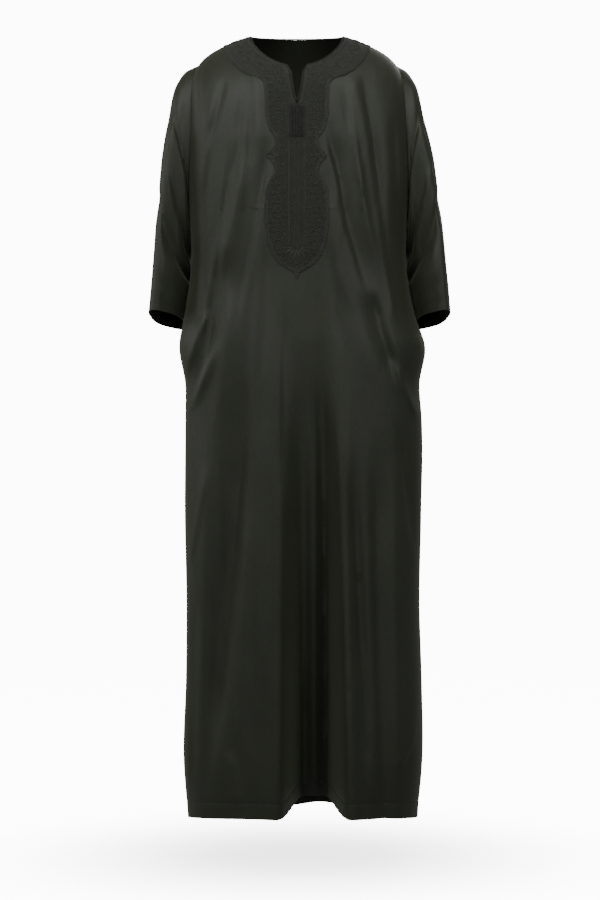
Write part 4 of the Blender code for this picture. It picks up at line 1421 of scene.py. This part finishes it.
def stitch_tree():
    """A row of short stitches along each line of a mesh of edges."""
    nodes, given = new_tree("stitch_row", ("Pitch", "Length", "Radius"))
    line = nodes.add("GeometryNodeMeshToCurve", None, {0: given})
    pitch = {"Curve": line, "Length": given.other("Pitch")}
    places = nodes.add("GeometryNodeCurveToPoints", {"mode": "LENGTH"}, pitch)
    tangent = {"Vector": places.other("Tangent")}
    turned = nodes.add("FunctionNodeAlignRotationToVector", {"axis": "Z"}, tangent)
    bead = nodes.add("GeometryNodeMeshUVSphere", None, {"Segments": 6, "Rings": 4, "Radius": 1.0})
    across = given.other("Radius")
    size = nodes.add("ShaderNodeCombineXYZ", None, {0: across, 1: across, 2: given.other("Length") / 2})
    bead = nodes.add("GeometryNodeTransform", None, {"Geometry": bead, "Scale": size})
    row = {"Points": places, "Instance": bead, "Rotation": turned}
    return end_tree(nodes, given, nodes.add("GeometryNodeInstanceOnPoints", None, row))


def lines_mesh(name, lines, closed):
    """A mesh of edges only, one chain for each line of points."""
    points = []
    edges = []
    for line in lines:
        first = len(points)
        points += [tuple(point) for point in line]
        edges += [(n, n + 1) for n in range(first, len(points) - 1)]
        if closed:
            edges.append((len(points) - 1, first))
    mesh = bpy.data.meshes.new(name)
    mesh.from_pydata(points, edges, [])
    return mesh


def grow(name, lines, tree, sizes, finish, closed=False):
    """A plain mesh made by a tree of nodes along lines of points, given the tree's sizes in order."""
    source = bpy.data.objects.new(name + "_lines", lines_mesh(name, lines, closed))
    bpy.context.scene.collection.objects.link(source)
    work = source.modifiers.new("grow", "NODES")
    work.node_group = tree
    sockets = [s.identifier for s in tree.interface.items_tree if s.in_out == "INPUT"]
    for socket, value in zip(sockets[1:], (*sizes, finish)):
        work[socket] = value
    scene_now = bpy.context.evaluated_depsgraph_get()
    mesh = bpy.data.meshes.new_from_object(source.evaluated_get(scene_now), depsgraph=scene_now)
    source.modifiers.clear()
    bpy.data.objects.remove(source)
    return mesh


def join_meshes(name, meshes):
    """Several meshes as one."""
    form = bmesh.new()
    for mesh in meshes:
        form.from_mesh(mesh)
    joined = bpy.data.meshes.new(name)
    form.to_mesh(joined)
    form.free()
    return joined


def make_threads(chest, band, finish):
    """Couched threads of the band and plaque, and the cords that edge them."""
    thin = [band.lay(path, THREAD_LIFT) for path in band_pattern(band)]
    for side in (LEFT, RIGHT):
        thin += [chest.lay(path, THREAD_LIFT) for path in column_pattern(side)]
    thin += [chest.lay(path, CORD_LIFT) for path in fan_pattern()]
    drops = np.arange(CENTRE_TOP, CENTRE_END, LINE_STEP)
    for x in CENTRE_LINES:
        for side in (LEFT, RIGHT):
            thin.append(chest.lay(np.stack([np.full(len(drops), side * x), drops], -1), THREAD_LIFT))
    thick = [outline_cord(band, chest, inset, CORD_LIFT) for inset in OUTLINE_INSETS]
    thick += [neck_cord(band, chest, inset, CORD_LIFT) for inset in NECK_INSETS]
    thin = [path for path in thin if len(path) > 2]
    single = cord_tree(1, 5)
    meshes = [
        grow("couched", thin, single, (LINE_STEP, *COUCHED), finish),
        grow("border", thick, single, (LINE_STEP, *BORDER), finish),
    ]
    return add_piece("embroidery_threads", join_meshes("embroidery_threads", meshes), finish)


def neckline_loop(front, back):
    """Edge points and normals round the neck, by way of the slit, and where the slit ends."""
    rows, columns = front[LEFT]["points"].shape[:2]
    between = front[LEFT]["points"][:, -1] - front[RIGHT]["points"][:, 0]
    last = max(n for n in range(rows) if np.linalg.norm(between[n]) > SEAM)
    loop = []
    for key in ("points", "normals"):
        left = [*front[LEFT][key][0], *front[LEFT][key][1 : last + 2, -1]]
        right = [*front[RIGHT][key][last:0:-1, 0], *front[RIGHT][key][0]]
        behind = [*back[RIGHT][key][0][::-1][1:], *back[LEFT][key][0][::-1][1:-1]]
        loop.append(np.array(left + right + behind))
    return loop[0], loop[1], columns + last


def make_piping(front, back, finish):
    """The twisted cord round the neck and down both sides of the slit."""
    points, normals, foot = neckline_loop(front, back)
    before = unit(points - np.roll(points, 1, axis=0))
    after = unit(np.roll(points, -1, axis=0) - points)
    away = unit(np.cross(normals, before + after))
    path = points - normals * CLOTH / 2 + away * PIPING_REACH
    clear = np.linalg.norm(points - points[foot], axis=1) > PIPING_END
    left, right = path[:foot][clear[:foot]], path[foot + 1 :][clear[foot + 1 :]]
    base = (left[-1] + right[0]) / 2
    half = np.linalg.norm(right[0] - left[-1]) / 2
    turn = [base + half * np.array([math.cos(a), 0, math.sin(a)]) for a in np.radians(PIPING_TURN)]
    loop = soft_loop(np.vstack([left, turn, right]), PIPING_STEP)
    mesh = grow("neck_cord", [loop], cord_tree(3, 6), (PIPING_STEP, *PIPING), finish, closed=True)
    return add_piece("neck_cord", mesh, finish)


def soft_loop(loop, spacing):
    """A closed loop with points evenly apart and its corners rounded."""
    closed = np.vstack([loop, loop[:1]])
    length = lengths(closed, 0)
    at = np.linspace(0, length[-1], int(length[-1] / spacing) + 1)[:-1]
    loop = np.stack([np.interp(at, length, closed[:, n]) for n in range(3)], -1)
    for _ in range(3):
        loop = (np.roll(loop, 1, axis=0) + 2 * loop + np.roll(loop, -1, axis=0)) / 4
    return loop


def make_slit_cords(chest, finish):
    """Five plaited cords side by side under the slit."""
    drops = np.arange(SLIT_CORD_TOP, SLIT_CORD_END, SLIT_CORD_STEP)
    radius, offset, twist = BRAID
    meshes = []
    twisted = cord_tree(2, 6)
    for direction in (-1, 1):
        lines = []
        for n in range(SLIT_CORDS):
            middle = (n - (SLIT_CORDS - 1) / 2) * SLIT_CORD_PITCH
            x = np.full(len(drops), middle + direction * (radius + offset))
            lines.append(chest.lay(np.stack([x, drops], -1), radius + offset))
        sizes = (BRAID_STEP, radius, offset, direction * twist)
        meshes.append(grow("slit_cord", lines, twisted, sizes, finish))
    return add_piece("slit_braid", join_meshes("slit_braid", meshes), finish)


def hem_lines(halves):
    """The line of stitches that holds the hem, on each half of a panel."""
    lines = []
    for half in halves.values():
        along = -half["places"][:, 0, 1]
        row = int(np.argmin(np.abs(along - along[-1] + HEM_BAND)))
        lines.append(half["points"][row] + half["normals"][row] * STITCH_LIFT)
    return lines


def mouth_lines(halves, opening):
    """Stitches beside the edges of both openings of a panel."""
    lines = []
    for side, half in halves.items():
        inward = slice(None, None, -side)
        points, normals = half["points"][:, inward], half["normals"][:, inward]
        reach = lengths(points, 1)
        drop = -points[:, 0, 2]
        line = []
        for row in np.nonzero((drop > opening[0]) & (drop < opening[1]))[0]:
            place, out = (
                np.array([np.interp(MOUTH_BAND, reach[row], grid[row, :, n]) for n in range(3)])
                for grid in (points, normals)
            )
            line.append(place + out * STITCH_LIFT)
        lines.append(np.array(line))
    return lines


def cuff_line(patch):
    """The line of stitches round a cuff."""
    along = -patch["places"][:, 0, 1]
    row = int(np.argmin(np.abs(along - along[-1] + CUFF_BAND)))
    return (patch["points"][row] + patch["normals"][row] * STITCH_LIFT)[:-1]


def new_finish(name):
    """A material, its nodes and its shader."""
    finish = bpy.data.materials.new(name)
    finish.use_nodes = True
    return finish, Nodes(finish.node_tree), finish.node_tree.nodes["Principled BSDF"]


def flat_place(nodes):
    """Place across and down the flat cloth, in metres."""
    place = nodes.add("ShaderNodeUVMap", {"uv_map": "cloth"})
    apart = nodes.add("ShaderNodeSeparateXYZ", None, {0: place})
    return apart, apart.other("Y")


def grain(nodes, place, changes):
    """Noise stretched by how many times it changes in a metre across and down."""
    spot = {0: place[0] * changes[0], 1: place[1] * changes[1]}
    spot = nodes.add("ShaderNodeCombineXYZ", None, spot)
    return nodes.add("ShaderNodeTexNoise", None, {"Vector": spot, "Scale": 1.0, "Detail": 2.0})


def waves(value, pitch):
    """Even waves of a pitch."""
    return (value * (TAU / pitch)).math("SINE")


def set_shader(nodes, shader, inputs, tones=None, share=None):
    """Inputs of a shader, and its colour where it lies between a dark and a light tone."""
    if tones:
        share = nodes.add("ShaderNodeClamp", None, {0: share})
        colour = nodes.blend(share, (*tones[0], 1), (*tones[1], 1))
        inputs = {"Base Color": colour, **inputs}
    for name, value in inputs.items():
        nodes.give(shader.inputs[name], value)


def make_satin(name, tones):
    """Satin: fine upright weave, soft cloudy sheen and a little drag in the cloth."""
    finish, nodes, shader = new_finish(name)
    place = flat_place(nodes)
    streak, cloud, drag = (grain(nodes, place, changes) for changes in (STREAK, CLOUD, DRAG))
    weft = (place[1] * (TAU / WEFT_PITCH) + place[0] * (math.pi / WARP_PITCH)).math("SINE")
    height = waves(place[0], WARP_PITCH) * 0.25 + weft * 0.2 + streak * 0.8
    weave = nodes.bump(height, 0.35, 0.00006)
    gloss = SATIN_ROUGHNESS + (streak - 0.5) * 0.10 + (cloud - 0.5) * 0.14
    inputs = {"Roughness": gloss, "Normal": nodes.bump(drag, 0.5, 0.0006, Normal=weave), **SATIN_SHEEN}
    set_shader(nodes, shader, inputs, tones, (streak * 0.45 + cloud * 0.55 - 0.2) * 1.6)
    return finish


def make_ground_finish(name, tones):
    """Matt embroidery: rows of flat stitches that change direction from patch to patch."""
    finish, nodes, shader = new_finish(name)
    across, down = flat_place(nodes)
    patch = {0: across * STITCH_PATCHES, 1: down * STITCH_PATCHES}
    patch = nodes.add("ShaderNodeCombineXYZ", None, patch)
    cell = nodes.add("ShaderNodeTexVoronoi", None, {"Vector": patch, "Scale": 1.0})
    hue = nodes.add("ShaderNodeSeparateColor", None, {0: cell.other("Color")})
    angle = hue * math.pi
    rows = waves(across * angle.math("COSINE") + down * angle.math("SINE"), FLAT_STITCH)
    fibre = grain(nodes, (across, down), FIBRE)
    normal = nodes.bump(rows * 0.5 + fibre * 0.6 - cell * 0.5, 0.8, 0.00025)
    inputs = {"Roughness": 0.72 + fibre * 0.16, "Normal": normal, **MATT_SHEEN}
    set_shader(nodes, shader, inputs, tones, rows * 0.22 + fibre * 0.5 + hue.other("Green") * 0.3)
    return finish


def make_thread_finish(name, tones, roughness, ply):
    """Twisted thread: slanting ply along its run, with loose fibre."""
    finish, nodes, shader = new_finish(name)
    along = nodes.add("ShaderNodeAttribute", {"attribute_name": "along"}, None, "Fac")
    place = nodes.add("ShaderNodeTexCoord").other("Object")
    noise = {"Vector": place, "Scale": THREAD_FIBRE, "Detail": 1.0}
    fibre = nodes.add("ShaderNodeTexNoise", None, noise)
    apart = nodes.add("ShaderNodeSeparateXYZ", None, {0: place})
    rope = waves(along + (apart + apart.other("Z")) * 0.6, ply)
    normal = nodes.bump(rope * 0.5 + fibre * 0.5, 0.8, 0.0002)
    inputs = {"Roughness": roughness + fibre * 0.15, "Normal": normal, **THREAD_SHEEN}
    set_shader(nodes, shader, inputs, tones, rope * 0.3 + fibre * 0.5 + 0.2)
    return finish


def make_cotton(name, tones):
    """Plain matt weave of the pocket bags."""
    finish, nodes, shader = new_finish(name)
    place = flat_place(nodes)
    fluff = grain(nodes, place, FLUFF)
    height = waves(place[0], WARP_PITCH) * waves(place[1], WARP_PITCH) * 0.6 + fluff * 0.5
    inputs = {"Roughness": 0.85 + fluff * 0.1, "Normal": nodes.bump(height, 0.5, 0.0001)}
    set_shader(nodes, shader, inputs, tones, fluff)
    return finish


def make_floor():
    """Pale floor that fades into the background, with a soft painted shadow under the garment."""
    mesh = bpy.data.meshes.new("floor")
    corners = [(-1, -1), (1, -1), (1, 1), (-1, 1)]
    corners = [(x * FLOOR_HALF, y * FLOOR_HALF, FLOOR_LEVEL) for x, y in corners]
    mesh.from_pydata(corners, [], [(0, 1, 2, 3)])
    finish, nodes, shader = new_finish("pale_floor")
    place = nodes.add("ShaderNodeTexCoord").other("Object")
    x = nodes.add("ShaderNodeSeparateXYZ", None, {0: place})
    y = x.other("Y")
    patch = nodes.add("ShaderNodeTexNoise", None, {"Vector": place, "Scale": 1.5})
    # The floor's glow is darkened in an ellipse under the garment: a painted shadow in the glow
    near = (x * x / PAINTED_SHADOW_SPREAD[0] + y * y / PAINTED_SHADOW_SPREAD[1]).math("SQRT")
    painted_shadow = nodes.fall(near, *PAINTED_SHADOW_ENDS, "SMOOTHERSTEP")
    glow = BACKGROUND * (1 - painted_shadow * PAINTED_SHADOW_DEPTH) * (0.985 + patch * 0.03)
    ends = (FLOOR_HALF * share for share in FLOOR_FADE)
    fade = nodes.fall((x * x + y * y).math("SQRT"), *ends, "SMOOTHSTEP")
    pale = nodes.add("ShaderNodeCombineColor", None, {0: glow, 1: glow, 2: glow})
    set_shader(nodes, shader, {
        "Base Color": (0.8, 0.8, 0.8, 1),
        "Roughness": 0.9,
        "Emission Color": pale,
        "Emission Strength": 1.0,
        "Alpha": fade,
    })
    mesh.materials.append(finish)
    floor = bpy.data.objects.new("floor", mesh)
    bpy.context.scene.collection.objects.link(floor)
    floor.visible_diffuse = False
    floor.visible_glossy = False
    floor.visible_shadow = False


def make_light(name, place, aim, size, power):
    """A large soft lamp aimed at a place."""
    lamp = bpy.data.lights.new(name, "AREA")
    lamp.size = size
    lamp.energy = power
    light = bpy.data.objects.new(name, lamp)
    light.location = place
    light.rotation_euler = (Vector(aim) - Vector(place)).to_track_quat("-Z", "Y").to_euler()
    light.visible_camera = False
    bpy.context.scene.collection.objects.link(light)


def make_world():
    """Pale background, with a weaker even light on the cloth."""
    world = bpy.data.worlds.new("studio")
    bpy.context.scene.world = world
    world.use_nodes = True
    nodes = Nodes(world.node_tree)
    world.node_tree.nodes.clear()
    seen = nodes.add("ShaderNodeLightPath").other("Is Camera Ray")
    strength = seen * (BACKGROUND - ROOM_LIGHT) + ROOM_LIGHT
    light = nodes.add("ShaderNodeBackground", None, {"Color": (1, 1, 1, 1), "Strength": strength})
    nodes.add("ShaderNodeOutputWorld", None, {"Surface": light})


def make_camera():
    """A level camera straight in front."""
    camera = bpy.data.objects.new("camera", bpy.data.cameras.new("camera"))
    bpy.context.scene.collection.objects.link(camera)
    camera.location = CAMERA_PLACE
    camera.rotation_euler = (math.pi / 2, 0, 0)
    camera.data.lens = CAMERA_LENS
    camera.data.sensor_width = CAMERA_SENSOR
    bpy.context.scene.camera = camera


def main():
    """The studio, the pieces of the garment, and the imported solids they replace hidden."""
    make_camera()
    make_world()
    make_floor()
    for name, place, size, power in LIGHTS:
        make_light(name, place, LIGHT_AIM, size, power)

    satin = make_satin("charcoal_satin", SATIN_TONES)
    thread = make_ground_finish("matt_thread", MATT_TONES)
    braid = make_thread_finish("couched_thread", COUCHED_TONES, 0.60, 0.0016)
    cord = make_thread_finish("round_cord", CORD_TONES, 0.58, 0.0009)
    sewing = make_thread_finish("sewing_thread", SEWING_TONES, 0.5, 0.0006)
    cotton = make_cotton("pocket_cotton", COTTON_TONES)

    rows = make_levels()
    front_cloth, front = make_panel("front_cloth", FRONT, rows, satin)
    back_cloth, back = make_panel("back_cloth", BACK, rows, satin)
    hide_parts("front_panel")
    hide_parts("back_panel")
    cuffs = []
    for label, side in (("left", LEFT), ("right", RIGHT)):
        sleeve, patch = make_sleeve(label + "_sleeve", side, front, back, satin)
        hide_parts("sleeve_" + label)
        cuffs.append(cuff_line(patch))
        pocket = make_pocket(label + "_pocket_bag", side, front, back, cotton)
        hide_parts("pocket_" + label)

    front_ground, surface = make_ground("embroidered_front", FRONT, thread)
    back_ground = make_ground("embroidered_back", BACK, thread)[0]
    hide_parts("embroidery_front")
    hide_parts("embroidery_back")
    chest, band = Chest(surface), NeckBand()
    threads = make_threads(chest, band, braid)
    neck_cord_piece = make_piping(front, back, cord)
    slit_braid = make_slit_cords(chest, cord)
    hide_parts("neck_piping")
    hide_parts("slit_cords")

    seams = [*hem_lines(front), *hem_lines(back), *mouth_lines(front, POCKET), *mouth_lines(back, POCKET)]
    row_tree = stitch_tree()
    stitched = [
        grow("open_rows", seams, row_tree, STITCH, sewing),
        grow("cuff_rows", cuffs, row_tree, STITCH, sewing, closed=True),
    ]
    stitches = add_piece("stitches", join_meshes("stitches", stitched), sewing)


main()
